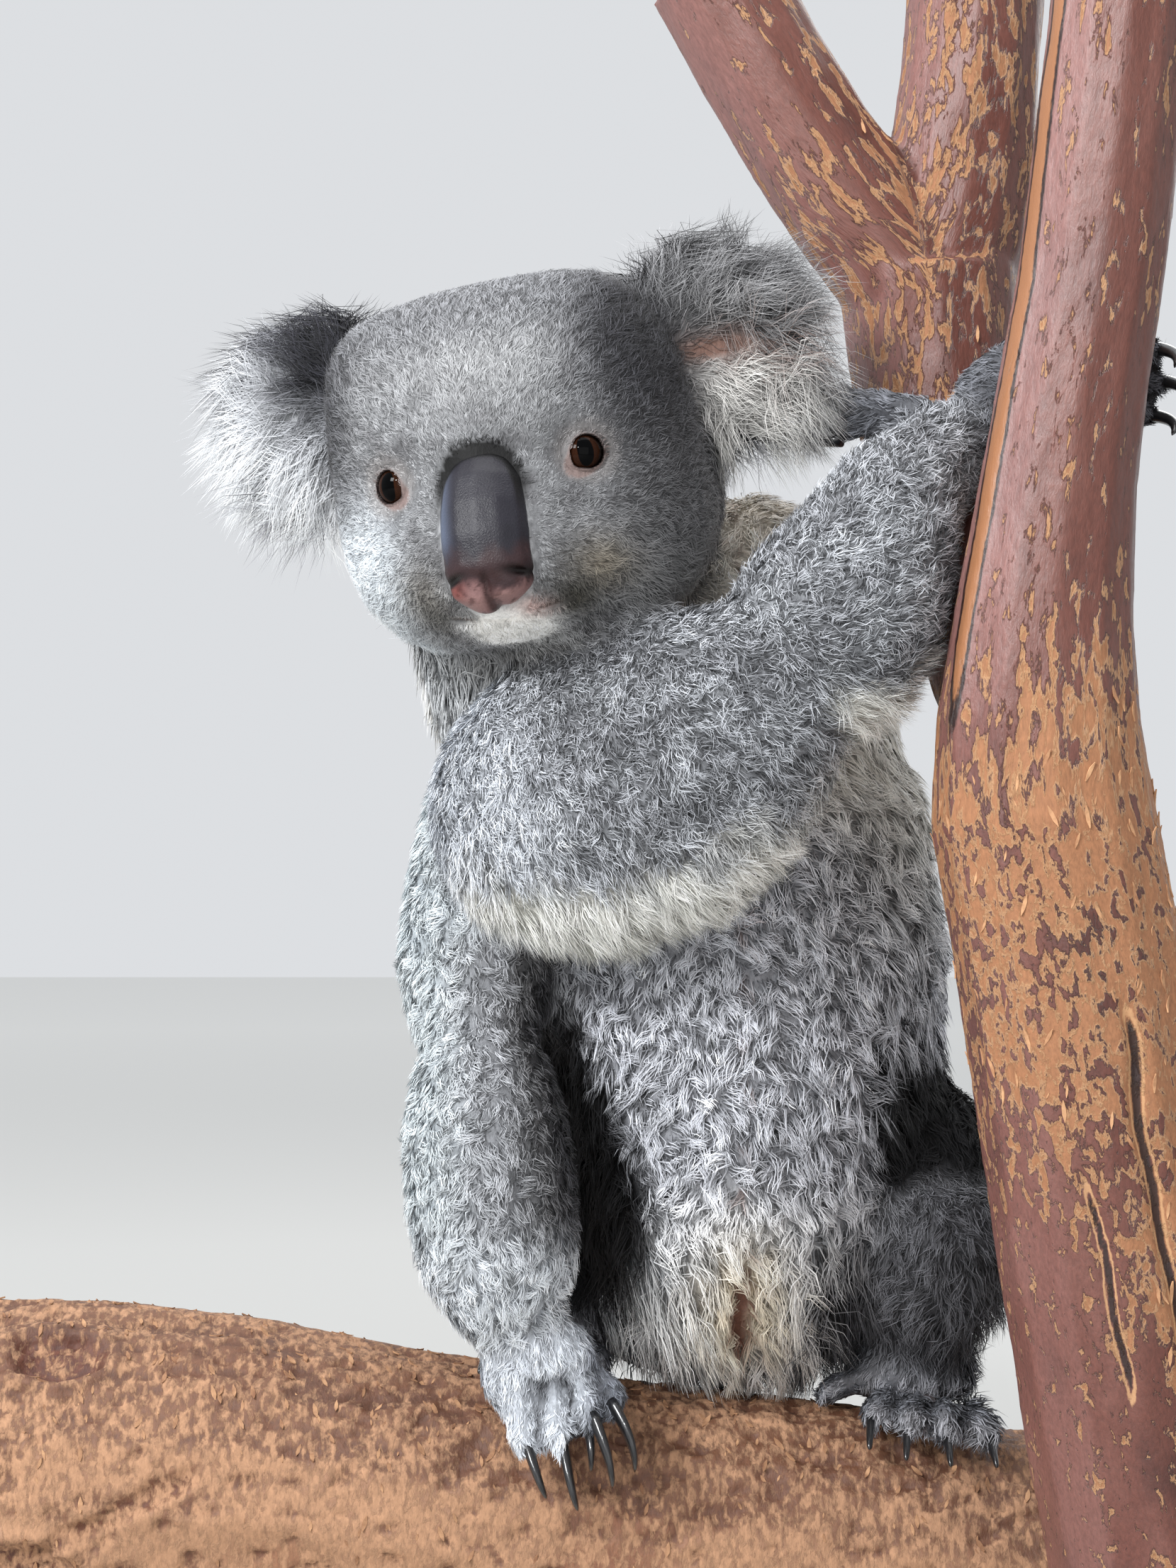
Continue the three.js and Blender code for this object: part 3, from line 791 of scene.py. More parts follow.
class Marks:
    """The coat's colours as they are painted: its roots and tips, the share of its tufts
    that is dark, and where skin is bare. It holds what the masks are made of."""

    def __init__(self, points, normals, shares):
        self.points, self.normals, self.shares = points, normals, shares
        self.world, self.head = points / MM, to_head(points) / MM
        self.part = part = dict(zip(FLESH, shares.T))
        self.ears = part["ear_left"] + part["ear_right"]
        self.feet = part["foot_left"] + part["foot_right"]
        self.belly = part["torso"] * ramp(-normals[:, 1], -0.1, 0.5)
        body = sum(part[p] for p in ("torso", "neck", "thigh_left", "thigh_right", "shin_right"))
        self.hollow = body_hollow(self.world) * body
        self.tip = np.tile((0.64, 0.645, 0.66), (len(points), 1))
        self.root = np.tile((0.25, 0.25, 0.262), (len(points), 1))
        self.dark = np.full(len(points), 0.16)
        self.bare = np.zeros(len(points))

    def paint(self, share, tip, root=None, dark=None):
        share = np.clip(share, 0, 1)
        self.tip = blended(self.tip, tip, share)
        if root is not None:
            self.root = blended(self.root, root, share)
        if dark is not None:
            self.dark = self.dark + (dark - self.dark) * share

    def uncover(self, share):
        self.bare = np.maximum(self.bare, np.clip(share, 0, 1))


def mark_arms(marks):
    """Pepper and salt above, with a white fringe under the raised arm. The hanging arm has
    painted light on its outer side, towards the key lamp, and painted shade on its inner side.
    """
    paint, part = marks.paint, marks.part
    x, _, z = marks.world.T
    nx, _, nz = marks.normals.T
    raised = part["upper_arm_left"] + part["forearm_left"]
    mottle = ramp(layered(marks.points, 11 * MM, 23), -0.25, 0.35)
    paint(raised, (0.86, 0.875, 0.90), (0.08, 0.08, 0.095), 0.38)
    paint(raised * (1 - mottle), (0.74, 0.75, 0.775), (0.05, 0.05, 0.06), 0.46)
    pale = raised * ramp(-x - 0.35 * (z - 430), 2, 42)
    paint(pale, (0.92, 0.94, 0.97), (0.40, 0.41, 0.43), 0.08)
    fringe = raised * ramp(-nz + 0.16 * layered(marks.points, 9 * MM, 3), 0.28, 0.62)
    paint(fringe, (1.0, 1.0, 0.98), (0.84, 0.835, 0.81), 0.0)
    hanging = part["upper_arm_right"] + part["forearm_right"]
    paint(hanging, (0.80, 0.81, 0.83), (0.17, 0.17, 0.19), 0.16)
    # painted light on the hanging arm's outer side, towards the key lamp, and painted shade on its
    # inner side, next to the body
    paint(hanging * ramp(-nx, -0.1, 0.7), (0.88, 0.91, 0.92), (0.48, 0.51, 0.54), 0.05)
    paint(hanging * ramp(nx, 0.1, 0.7), (0.56, 0.56, 0.57), (0.10, 0.10, 0.11), 0.35)
    paint(hanging * ramp(nx, 0.6, 0.95), (0.30, 0.30, 0.32), (0.05, 0.05, 0.06), 0.4)
    paint(hanging * ramp(-z, -265, -238), (0.92, 0.94, 0.96), (0.50, 0.52, 0.55), 0.05)
    paint(part["hand_right"], (0.91, 0.93, 0.96), (0.50, 0.52, 0.55), 0.04)
    paint(part["hand_right"] * ramp(x, -4, 3), (0.58, 0.60, 0.64), (0.20, 0.20, 0.22), 0.2)
    paint(part["hand_left"], (0.50, 0.51, 0.54), (0.12, 0.12, 0.14), 0.3)


def mark_trunk(marks):
    """Grey locks with a pale lower belly, a cream chest and patch, and painted shadow in the
    hollows beside the belly.
    """
    paint, part, world = marks.paint, marks.part, marks.world
    _, y, z = world.T
    nx = marks.normals[:, 0]
    torso = part["torso"]
    paint(torso, (0.88, 0.89, 0.92), (0.16, 0.16, 0.18), 0.08)
    front = marks.belly
    paint(front * ramp(-z, -280, -235), (1.0, 1.0, 1.0), (0.66, 0.68, 0.71), 0.0)
    paint(torso * ramp(y, 40, 70), (0.56, 0.55, 0.55), (0.15, 0.15, 0.16), 0.22)
    rump = torso * spot(world, (50, 105, 215), (60, 45, 45))
    paint(rump * ramp(layered(marks.points, 22 * MM, 11), -0.1, 0.3), (0.84, 0.82, 0.79),
          (0.45, 0.43, 0.41), 0.05)
    chest = (torso + part["neck"]) * ramp(z, 385, 425) * ramp(-y, -50, -15)
    paint(chest, (0.97, 0.95, 0.91), (0.90, 0.87, 0.82), 0.0)
    flank = torso * spot(world, (128, -10, 425), (26, 60, 40))
    paint(1.2 * flank, (0.96, 0.95, 0.92), (0.70, 0.69, 0.67), 0.0)
    # painted shadow: the hollow behind the hanging arm and the one over the left thigh are painted
    # nearly black
    paint(marks.hollow, (0.13, 0.13, 0.14), (0.02, 0.02, 0.025), 0.3)
    patch = front * spot(world, (56, -42, 220), (12, 40, 19))
    paint(1.3 * patch, (0.93, 0.89, 0.81), (0.66, 0.59, 0.49), 0.0)
    corner = torso * spot(world, (98, -8, 218), (11, 30, 18))
    paint(1.6 * corner, (0.28, 0.28, 0.30), (0.05, 0.05, 0.06), 0.5)
    neck = part["neck"]
    paint(neck * (1 - ramp(z, 385, 425)), (0.80, 0.81, 0.82), (0.32, 0.32, 0.33), 0.1)
    paint(neck * ramp(-nx, 0.0, 0.6) * ramp(-y, -30, 0), (0.76, 0.77, 0.78),
          (0.40, 0.41, 0.42), 0.1)


def mark_legs(marks):
    """Charcoal legs, with feet that are paler along their tops."""
    paint, part = marks.paint, marks.part
    y = marks.world[:, 1]
    _, ny, nz = marks.normals.T
    legs = sum(part[p] for p in FLESH if p.startswith(("thigh", "shin")))
    legs_share = legs * (1 - marks.hollow)
    paint(legs_share, (0.42, 0.42, 0.44), (0.09, 0.09, 0.10), 0.32)
    paint(legs_share * ramp(y, 20, 60), (0.52, 0.52, 0.53), (0.13, 0.13, 0.14), 0.25)
    feet = marks.feet
    paint(feet, (0.52, 0.53, 0.56), (0.14, 0.14, 0.16), 0.28)
    paint(feet * ramp(-ny, 0.3, 0.8) * ramp(nz, -0.2, 0.2), (0.68, 0.68, 0.70), None, 0.1)


def mark_head(marks):
    """Grey, with a white cheek, a black crescent over the nose and a white chin. The face is
    painted lighter on its right side, towards the key lamp, and darker on its left cheek: partly
    the fur's own tones and partly painted light and shade.
    """
    paint, face, head = marks.paint, marks.part["head"], marks.head
    hx, hy, hz = head.T
    paint(face, (0.635, 0.64, 0.65), (0.25, 0.25, 0.26), 0.22)
    flecked = ramp(layered(marks.points, 7 * MM, 29), 0.05, 0.4)
    paint(face * flecked, (0.52, 0.52, 0.53), (0.20, 0.20, 0.21), 0.24)
    paint(face * spot(head, (4, -45, 40), (24, 40, 15)), (0.70, 0.705, 0.71), (0.36, 0.36, 0.37),
          0.10)
    paint(face * ramp(hy, 0, 50), (0.56, 0.56, 0.57), (0.20, 0.20, 0.21), 0.25)
    # the white cheek on the head's right side, towards the key lamp: white fur, made whiter by
    # painted light
    paint(face * ramp(-hx, 24, 48) * ramp(-hz, -12, 25), (0.95, 0.98, 1.0),
          (0.60, 0.62, 0.65), 0.04)
    crown = face * ramp(hz, 34, 58) * ramp(-hy, -30, 0)
    paint(crown, (0.60, 0.605, 0.62), (0.20, 0.20, 0.21), 0.34)
    paint(face * ramp(-hz, 18, 48) * ramp(hx, 28, 46), (0.68, 0.68, 0.68), (0.36, 0.36, 0.36),
          0.12)
    # darker left cheek, turned from the key lamp: partly its own grey, partly painted shade
    paint(face * spot(head, (60, -30, -4), (15, 30, 26)), (0.44, 0.44, 0.45),
          (0.13, 0.13, 0.14), 0.3)
    pad = past_nose(hx, hz)
    crescent = face * ramp(-hy, 30, 42) * ramp(hz, -16, 0) \
        * (1 - ramp(pad + 0.04 * hx, 1.7, 2.8))
    crescent = crescent * (1 - ramp(np.abs(hx), 17, 20))
    paint(crescent, (0.02, 0.018, 0.02), (0.012, 0.012, 0.012), 0.6)
    chin = face * spot(head, (0, -57, -56), (9.5, 14, 5.5)) * 2.4
    paint(chin, (1.0, 1.0, 0.99), (0.93, 0.92, 0.90), 0.0)
    lip = face * spot(head, (12, -62, -48.5), (5, 12, 2.2))
    paint(lip, (0.84, 0.74, 0.72), (0.70, 0.56, 0.54), 0.0)
    seam = mouth_line(hx)
    seam = face * ramp(-hy, 35, 50) * (1 - ramp(np.abs(hz - seam), 0.4, 1.2))
    seam = seam * ramp(np.abs(hx), 9, 14) * (1 - ramp(np.abs(hx), 17, 22))
    paint(0.7 * seam, (0.30, 0.24, 0.22), (0.16, 0.11, 0.10), 0.0)
    paint(face * ramp(-hz, 60, 66) * ramp(-hy, 5, 30), (0.62, 0.61, 0.60),
          (0.30, 0.29, 0.28), 0.15)
    for sx, strength in ((34, 0.9), (-24, 0.5)):
        stain = face * spot(head, (sx, -56, -38), (6.5, 12, 6))
        paint(0.75 * strength * stain, (0.70, 0.65, 0.56), (0.42, 0.37, 0.30), 0.14)
    for sx, strength in ((24.5, 1.5), (-27, 0.7)):
        shadow = face * spot(head, (sx, -58, -48), (4.6, 10, 5.0))
        paint(0.7 * strength * shadow, (0.34, 0.33, 0.30), (0.10, 0.095, 0.09), 0.35)
    for sx, size in ((57, (14, 26, 21)), (-66, (9, 30, 24))):
        base_dark = (face + marks.ears) * spot(head, (sx, -22, 36), size)
        paint(1.6 * base_dark, (0.30, 0.30, 0.32), (0.06, 0.06, 0.07), 0.5)


def mark_ears(marks):
    """Dark at the root, white over the front, with a bare canal."""
    paint, part, head = marks.paint, marks.part, marks.head
    hx = head[:, 0]
    right = part["ear_right"]
    front_of_ear = ramp(-(marks.normals @ HEAD_TURN[:, 1]), -0.1, 0.3)
    paint(right, (0.50, 0.50, 0.52), (0.18, 0.18, 0.2), 0.2)
    paint(right * np.maximum(front_of_ear, ramp(-hx, 88, 108)), (0.98, 0.99, 1.0),
          (0.74, 0.75, 0.77), 0.0)
    paint(right * spot(head, (-60, 0, 50), (15, 40, 17)) * 1.4, (0.22, 0.22, 0.25),
          (0.07, 0.07, 0.08), 0.4)
    left = part["ear_left"]
    paint(left, (0.62, 0.62, 0.63), (0.20, 0.20, 0.21), 0.20)
    paint(left * front_of_ear * spot(head, (76, 0, 10), (24, 40, 15)) * 1.5,
          (0.92, 0.915, 0.90), (0.50, 0.49, 0.48), 0.04)
    paint(left * ramp(hx, 92, 116), (0.86, 0.86, 0.86), (0.38, 0.38, 0.38), 0.08)
    canal = left * spot(head, (74, 4, 31), (15, 30, 3.2)) * front_of_ear * 1.5
    paint(canal, (0.44, 0.33, 0.29), (0.26, 0.16, 0.14), 0.1)
    marks.uncover(canal)


def mark_bare_skin(marks):
    """The lids, the skin under the nose, the pouch's slit, the painted shade in the grooves
    between the digits, and the pads of the paws."""
    paint, part = marks.paint, marks.part
    face = part["head"]
    hx, hy, hz = marks.head.T
    lid_tone = (0.50, 0.435, 0.42)
    for side in (-1, 1):
        across, up, out = eye_coordinates(marks.head * MM, side)
        r = np.hypot(across, up) / MM
        edge = lid_opening(across, up, 6.2)
        inner = 1.2 * bell(across / MM + 6.5, 4.5) * bell(up / MM + 6.5, 3.5)
        ring = 1 - ramp(r - edge, 0.2 + 3.0 * inner, 1.1 + 4.6 * inner)
        ring = ring * (out > -2 * MM) * (face > 0.5)
        paint(ring, lid_tone, lid_tone, 0.0)
        marks.uncover(ring)
        rim = (1 - ramp(np.abs(r - edge + 0.1), 0.25, 0.7)) * (out > 0) * (face > 0.5)
        paint(rim, (0.13, 0.09, 0.085), (0.13, 0.09, 0.085))
        halo = (1 - ramp(r - edge, 2.5, 8)) * (out > -2 * MM) * (face > 0.5) * (1 - ring)
        paint(0.35 * halo, (0.72, 0.69, 0.67), (0.5, 0.46, 0.44), 0.08)
    marks.uncover(face * ramp(-hy, 45, 55) * (past_nose(hx, hz) < 0.6) * (hz < 10))
    pouch = marks.belly * pouch_slit(marks.world)
    paint(pouch, (0.42, 0.28, 0.23), (0.36, 0.22, 0.18), 0.0)
    marks.uncover(pouch)
    grooves = digit_grooves(marks.points, marks.shares)
    # painted shade in the grooves between the digits
    paint(1.1 * grooves, (0.20, 0.20, 0.22), (0.05, 0.05, 0.06), 0.3)
    pads = (marks.feet + part["hand_right"] + part["hand_left"]) * (part["hand_left"] < 0.5)
    pads = pads * ramp(-marks.normals[:, 2], 0.75, 0.92)
    paint(pads, (0.24, 0.21, 0.21), (0.24, 0.21, 0.21), 0.0)
    marks.uncover(pads)


def markings(points, normals, shares):
    """The coat's root and tip colours, how many tufts are dark, and where skin is bare."""
    marks = Marks(points, normals, shares)
    for mark in (mark_arms, mark_trunk, mark_legs, mark_head, mark_ears, mark_bare_skin):
        mark(marks)
    return linear(marks.root), linear(marks.tip), marks.dark, marks.bare


def coat_measures(points, normals, shares):
    """What the tufts are like at each skin point: the columns of the COAT table."""
    table = np.array([COAT[p] for p in FLESH])
    depth, length, width, lift, lock, sag, layers, stray, swirl, gap = (shares @ table).T
    part = dict(zip(FLESH, shares.T))
    head = to_head(points) / MM
    hx, hy, hz = head.T
    face = part["head"]
    from_nose = np.linalg.norm((head - (0, -70, -22)) * (1, 0.8, 0.75), axis=1)
    short = face * (1 - ramp(from_nose, 14, 60))
    length *= 1 - 0.45 * short
    for side in (-1, 1):
        from_eye = np.linalg.norm(head - EYE_CENTRE / MM * (side, 1, 1), axis=1)
        length *= 1 - 0.5 * face * (1 - ramp(from_eye, 11, 26))
    jaw = face * np.maximum(ramp(-hz, 20, 55) * ramp(np.abs(hx), 20, 48), ramp(hy, 0, 35))
    length *= 1 + 1.2 * jaw
    lift *= 1 + 0.3 * jaw
    corner = face * (spot(head, (-58, -5, 42), (14, 25, 16))
                     + spot(head, (50, -5, 52), (14, 25, 12)))
    length *= 1 + 1.0 * corner
    ears = part["ear_left"] + part["ear_right"]
    rim = np.linalg.norm(np.abs(head) * (1, 0, 0) + (0, 0, 1) * head
                         - EAR_ROOT / MM * (1, 0, 1), axis=1)
    length *= 1 + ears * (0.75 * ramp(rim, 15, 42) - 0.25)
    torso = part["torso"]
    belly = torso * ramp(-normals[:, 1], 0, 0.6)
    length *= 1 + 0.10 * belly
    world = points / MM
    under = torso + part["thigh_left"] + part["thigh_right"]
    below = under * ramp(-normals[:, 2], 0.1, 0.5) * (1 - ramp(points[:, 2], 0.23, 0.26))
    length *= 1 + 1.3 * below
    sag += 0.4 * below
    hollow = body_hollow(world) * torso
    length *= 1 + 0.5 * hollow
    swirl *= 1 - 0.7 * hollow
    patch = torso * spot(world, (56, -42, 220), (12, 40, 20))
    length *= (1 - 0.55 * patch) * (1 - 0.6 * torso * spot(world, (56, -42, 220), (7, 40, 18)))
    stray *= 1 - 0.7 * patch
    swirl *= 1 - 0.8 * patch
    gap *= 1 - 0.8 * patch
    length *= 1 - 0.6 * np.clip(digit_grooves(points, shares), 0, 1)
    cream = (torso + part["neck"]) * ramp(world[:, 2], 385, 425) * ramp(-world[:, 1], -50, -15)
    gap *= 1 - 0.9 * cream
    swirl *= 1 - 0.6 * cream
    beside = (part["shin_left"] + part["foot_left"]) * spot(world, (145, 6, 204), (16, 34, 30))
    flank = torso * spot(world, (126, 20, 370), (34, 45, 80))
    length *= 1 + 0.5 * flank
    length *= 1 + 1.4 * beside
    lift *= 1 + 0.9 * beside
    raised = part["upper_arm_left"] + part["forearm_left"]
    fringe = raised * ramp(-normals[:, 2], 0.2, 0.7)
    length *= 1 + 0.6 * fringe
    sag += 0.25 * fringe
    stray *= 1 - 0.6 * fringe
    gap *= 1 - 0.7 * fringe
    return (depth * MM, length * MM, width * MM, np.radians(lift), lock, sag, layers, stray,
            swirl, gap)


def build_skin(coat_depth, eye_opening):
    """The flesh nodes as one skin, drawn in by the depth of the coat, with lids and folds."""
    parts = [welded(node, FLESH_GROWTH) for node in FLESH]
    parts += [welded("eye_left"), welded("eye_right"), welded("nose", -1.5 * MM)]
    mesh = wrapped(parts, SKIN_VOXEL)
    eyes = [Vector(from_head((EYE_CENTRE + (0, -8 * MM, 0)) * (s, 1, 1))) for s in (-1, 1)]
    mouth = Vector(from_head(np.array((0, -62, -50)) * MM))
    add_detail(mesh, eyes, 17 * MM)
    add_detail(mesh, eyes + [mouth], 13 * MM)
    add_detail(mesh, [mouth], 26 * MM)
    edges = edges_of(mesh)
    points = smoothed(points_of(mesh), edges, 4)
    shares = smoothed(part_shares(points), edges, 6)
    shares /= shares.sum(1, keepdims=True)
    table = np.array([COAT[p] for p in FLESH])
    depth = (shares @ table[:, 0])[:, None] * MM * coat_depth
    depth += 5.4 * MM * digit_grooves(points, shares)[:, None]
    face = shares[:, [FLESH.index("head")]]
    steps = 4
    for _ in range(steps):
        set_points(mesh, points)
        points = points - normals_of(mesh) * depth / steps
        points = points + (0.5 - 0.35 * face) * (averaged(points, edges) - points)
    points = shrink_ears(points, shares)
    head = to_head(points)
    for place, size, push in (((-52, -8, 50), (16, 25, 16), (-3.5, 0, 5)),
                              ((42, -8, 60), (16, 25, 12), (1, 0, 3))):
        head = head + np.outer(spot(head / MM, place, size) * face[:, 0], np.array(push) * MM)
    for side in (-1, 1):
        head = shape_lids(head, side, eye_opening)
    head = shape_muzzle(head, face[:, 0])
    points = from_head(head)
    set_points(mesh, points)
    mesh.name = "skin"
    piece = shown("skin", mesh, skin_material())
    normals = normals_of(mesh)
    skin.update(points=points, shares=shares, triangles=triangles_of(mesh))
    soft = unit(smoothed(normals, edges, 6))
    root, tip, dark, bare = markings(points, soft, shares)
    skin.update(root=root, tip=tip, dark=dark, bare=bare, soft=soft)
    skin["flow"] = unit(smoothed(coat_flow(points, soft, shares), edges, 8))
    under = root + (tip - root) * 0.35
    streaks = 1 + 0.25 * layered(points * (1, 1, 0.6), 2.2 * MM, 5)
    under = under * streaks[:, None]
    set_colours(mesh, "coat_colour", blended(under, tip, bare))
    flattened(piece, 0.001)
    settled(piece, "coat", *FLESH)


def shape_muzzle(head, face):
    """The lip pads beside the nose, the chin's lobe, and the crease of the mouth between
    them."""
    x, y, z = (head / MM).T
    out = face * ramp(-y, 25, 45)
    chin = spot(head / MM, (0, -56, -56.5), (11, 16, 5.5)) * out
    pads = sum(spot(head / MM, (sx, -62, -41), (6.5, 14, 6)) for sx in (-18, 18)) * out
    crease = bell(z - mouth_line(x), 1.2) * (1 - ramp(np.abs(x), 18, 27))
    crease = crease * (0.3 + 0.7 * ramp(np.abs(x), 9, 16))
    crease = crease * face * ramp(-y, 35, 50)
    move = np.outer(3.4 * crease - 4.0 * chin - 1.8 * pads, (0, MM, 0))
    return head + move + np.outer(chin, (0, 0, -1.5 * MM))


# ---- the coat ----


def lock_line(root, normal, flow, length, lift, sag, t):
    """The middle of each tuft at share t of its length: it rises, leans over and sags."""
    run = np.cos(lift) * t + 0.10 * np.sin(lift) * t * t
    rise = np.sin(lift) * (t - 0.32 * t * t)
    line = root + length * (flow * run + normal * rise)
    line[:, 2] -= length[:, 0] * sag[:, 0] * t * t
    return line


def region(parts, side_of):
    """The skin's triangles that a piece of the coat grows on, with ragged borders."""
    faces, points = skin["triangles"], skin["points"]
    mine = np.isin(skin["shares"].argmax(1), [FLESH.index(p) for p in parts])
    middle = points[faces].mean(1)
    head = to_head(middle)
    behind = head[:, 1] + HEAD_BORDER if "head" in parts else middle[:, 1] - BODY_BORDER
    behind = behind + 7 * MM * layered(middle, 9 * MM, 17)
    across = head[:, 0] + 5 * MM * layered(middle, 6 * MM, 19)
    sides = {"front": behind < 0, "back": behind >= 0, "all": np.full(len(faces), True),
             "front left": (behind < 0) & (across >= 0),
             "front right": (behind < 0) & (across < 0)}
    return faces[(mine[faces].sum(1) >= 2) & sides[side_of]]


def scatter(random, faces, density, most):
    """Random places on the faces, as many as the density asks for or the most allowed: the
    faces picked, the shares of their corners, their area, and how much wider each tuft is
    made for those that are left out."""
    corner = skin["points"][faces]
    area = np.linalg.norm(np.cross(corner[:, 1] - corner[:, 0], corner[:, 2] - corner[:, 0]),
                          axis=1) / 2
    share = area * density[faces].mean(1)
    full = int(share.sum())
    count = min(full, most)
    pick = random.choice(len(faces), count, p=share / share.sum())
    a, b = random.random((2, count))
    over = a + b > 1
    a, b = np.where(over, 1 - a, a), np.where(over, 1 - b, b)
    return pick, np.stack([1 - a - b, a, b], 1)[:, :, None], area.sum(), (full / count) ** 0.5


def leaders(random, root, normal, lock_width, area):
    """Which tuft each tuft follows: the nearest of a few that lead, one for each lock."""
    count = len(root)
    lead_count = max(8, int(area / (lock_width * MM) ** 2))
    leads = random.choice(count, min(lead_count, count), replace=False)
    tree = KDTree(len(leads))
    for i, place in enumerate(root[leads] + normal[leads] * 2 * MM):
        tree.insert(place, i)
    tree.balance()
    return leads[np.array([tree.find(place)[1] for place in root])]


def tuft_colours(random, root, lead, at, gap, bends, width):
    """Each tuft's colours from root to tip: uneven, some dark, and darkened by painted shade
    in the gaps between the locks.
    """
    count = len(root)
    tone = 1 + 0.13 * random.normal(0, 1, (count, 1)) + 0.14 * grain(root, 5 * MM, 3)[:, None]
    tone += 0.14 * random.normal(0, 1, (count, 1))[lead]
    dark = random.random((count, 1)) < at(skin["dark"])
    root_colour, tip_colour = at(skin["root"]), at(skin["tip"])
    tip_colour = np.where(dark, tip_colour * DARK_TUFT, tip_colour * np.clip(tone, 0.45, 1.6))
    along = np.interp(bends, *TIP_SHARE)
    along = np.repeat(along, 2)[:width][None, :, None]
    colour = root_colour[:, None] + (tip_colour - root_colour)[:, None] * along
    return (colour * (1 - GAP_SHADOW * gap)[:, None]).reshape(-1, 3)


def grow_coat(name, seed, settings, material):
    """One piece of the coat: thin curved tufts on the skin of some parts of the body."""
    parts, side_of, lock_width, bends, most = COAT_PIECES[name]
    random = np.random.default_rng(seed)
    points, soft = skin["points"], skin["soft"]
    faces = region(parts, side_of)
    measures = np.stack(coat_measures(points, soft, skin["shares"]), 1)
    keep = np.clip(1 - 1.15 * skin["bare"], 0, 1)
    density = measures[:, 6] * 2 / (measures[:, 1] * measures[:, 2]) * keep * settings.density
    pick, mix, area, wide = scatter(random, faces, density, most // (2 * len(bends) - 3))
    chosen = faces[pick]
    count = len(pick)

    def at(field):
        field = field if field.ndim > 1 else field[:, None]
        return (field[chosen] * mix).sum(1)

    root = at(points)
    normal = unit(at(soft))
    lead = leaders(random, root, normal, lock_width, area)

    # the lie, length and lift of each tuft
    _, length, width, lift, lock, sag, _, stray, swirl, gap = (m[:, None] for m in at(measures).T)
    lump = 1.5 * lock_width * MM
    ridge = np.abs(layered(root * (1, 1, 0.8), lump, seed, 2))[:, None]
    gap = (1 - ramp(ridge, 0.02, 0.16)) * gap
    own_way = random.normal(0, 1, (count, 1))
    angle = swirl * (1.3 * layered(root, 1.8 * lump, seed + 9, 2)[:, None] + 0.4 * own_way[lead])
    angle = angle + stray * (0.6 * own_way[lead] + 0.7 * random.normal(0, 1, (count, 1)))
    flow = at(skin["flow"])
    flow = unit(flow - (flow * normal).sum(1)[:, None] * normal)
    flow = flow * np.cos(angle) + np.cross(normal, flow) * np.sin(angle)
    length = length * random.uniform(0.72, 1.18, (count, 1)) * (1 - 0.3 * gap)
    lift = lift * random.uniform(0.6, 1.35, (count, 1)) * (1 - 0.4 * gap)
    root = root - normal * (0.4 + 0.7 * gap) * MM

    # its blade: bent, turned a little about its own line, and drawn towards its leader
    curl = random.normal(0, 1, (count, 1))
    frizz = random.normal(0, 1, (count, 3))
    turn = random.uniform(-0.9, 0.9, (count, 1))
    side = unit(np.cross(flow, normal))
    sway = side * (0.16 * curl[lead] + 0.10 * curl)
    side = unit(side * np.cos(turn) + normal * np.sin(turn))
    rows = []
    apart = np.linalg.norm(root - root[lead], axis=1)[:, None]
    draw = lock * (1 - ramp(apart, lock_width * MM, 2.2 * lock_width * MM))
    for t in bends:
        own = lock_line(root, normal, flow, length, lift, sag, t)
        led = lock_line(root[lead], normal[lead], flow[lead], length[lead], lift[lead],
                        sag[lead], t)
        line = own + draw * t**1.3 * (led - own)
        line += length * (sway * math.sin(5.2 * t) + frizz * 0.035 * t)
        half = side * width * wide * (1 - t**2.2) * 0.5
        rows += [line - half, line + half] if t < 1 else [line]
    tuft = np.stack(rows, 1)
    each = tuft.shape[1]

    # faces: squares and, at the tip, one triangle
    steps = len(bends) - 2
    pattern = [c + 2 * i for i in range(steps) for c in (0, 1, 3, 2)]
    pattern += [2 * steps, 2 * steps + 1, 2 * steps + 2]
    corners = (np.arange(count)[:, None] * each + pattern).ravel()
    piece = put_mesh(name, tuft.reshape(-1, 3), corners, np.tile([4] * steps + [3], count),
                     material)
    mesh = piece.data
    set_colours(mesh, "coat_colour", tuft_colours(random, root, lead, at, gap, bends, each))
    shape = np.repeat(unit(normal + 0.35 * flow), each, 0)
    flat = normals_of(mesh)
    flat *= np.sign((flat * np.repeat(normal, each, 0)).sum(1))[:, None]
    set_field(mesh, "custom_normal", unit(shape + flat))

    # each tuft's patch on the map of the skin under it
    centre = (unwrapped(points, faces)[pick] * mix).sum(1)
    across = np.append(np.tile([-0.5, 0.5], steps + 1), 0) * TUFT_PATCH
    up = (np.repeat(bends, 2)[:each] - 0.5) * TUFT_PATCH
    patch = centre[:, None] + np.stack([across, up], 1)
    layer = mesh.uv_layers.new(name=UV_NAME)
    layer.uv.foreach_set("vector", patch.reshape(-1, 2)[corners].astype(np.float32).ravel())
    settled(piece, "ear_fur" if name == "coat_ears" else "coat")


# ---- eyes, nose, claws, whiskers ----


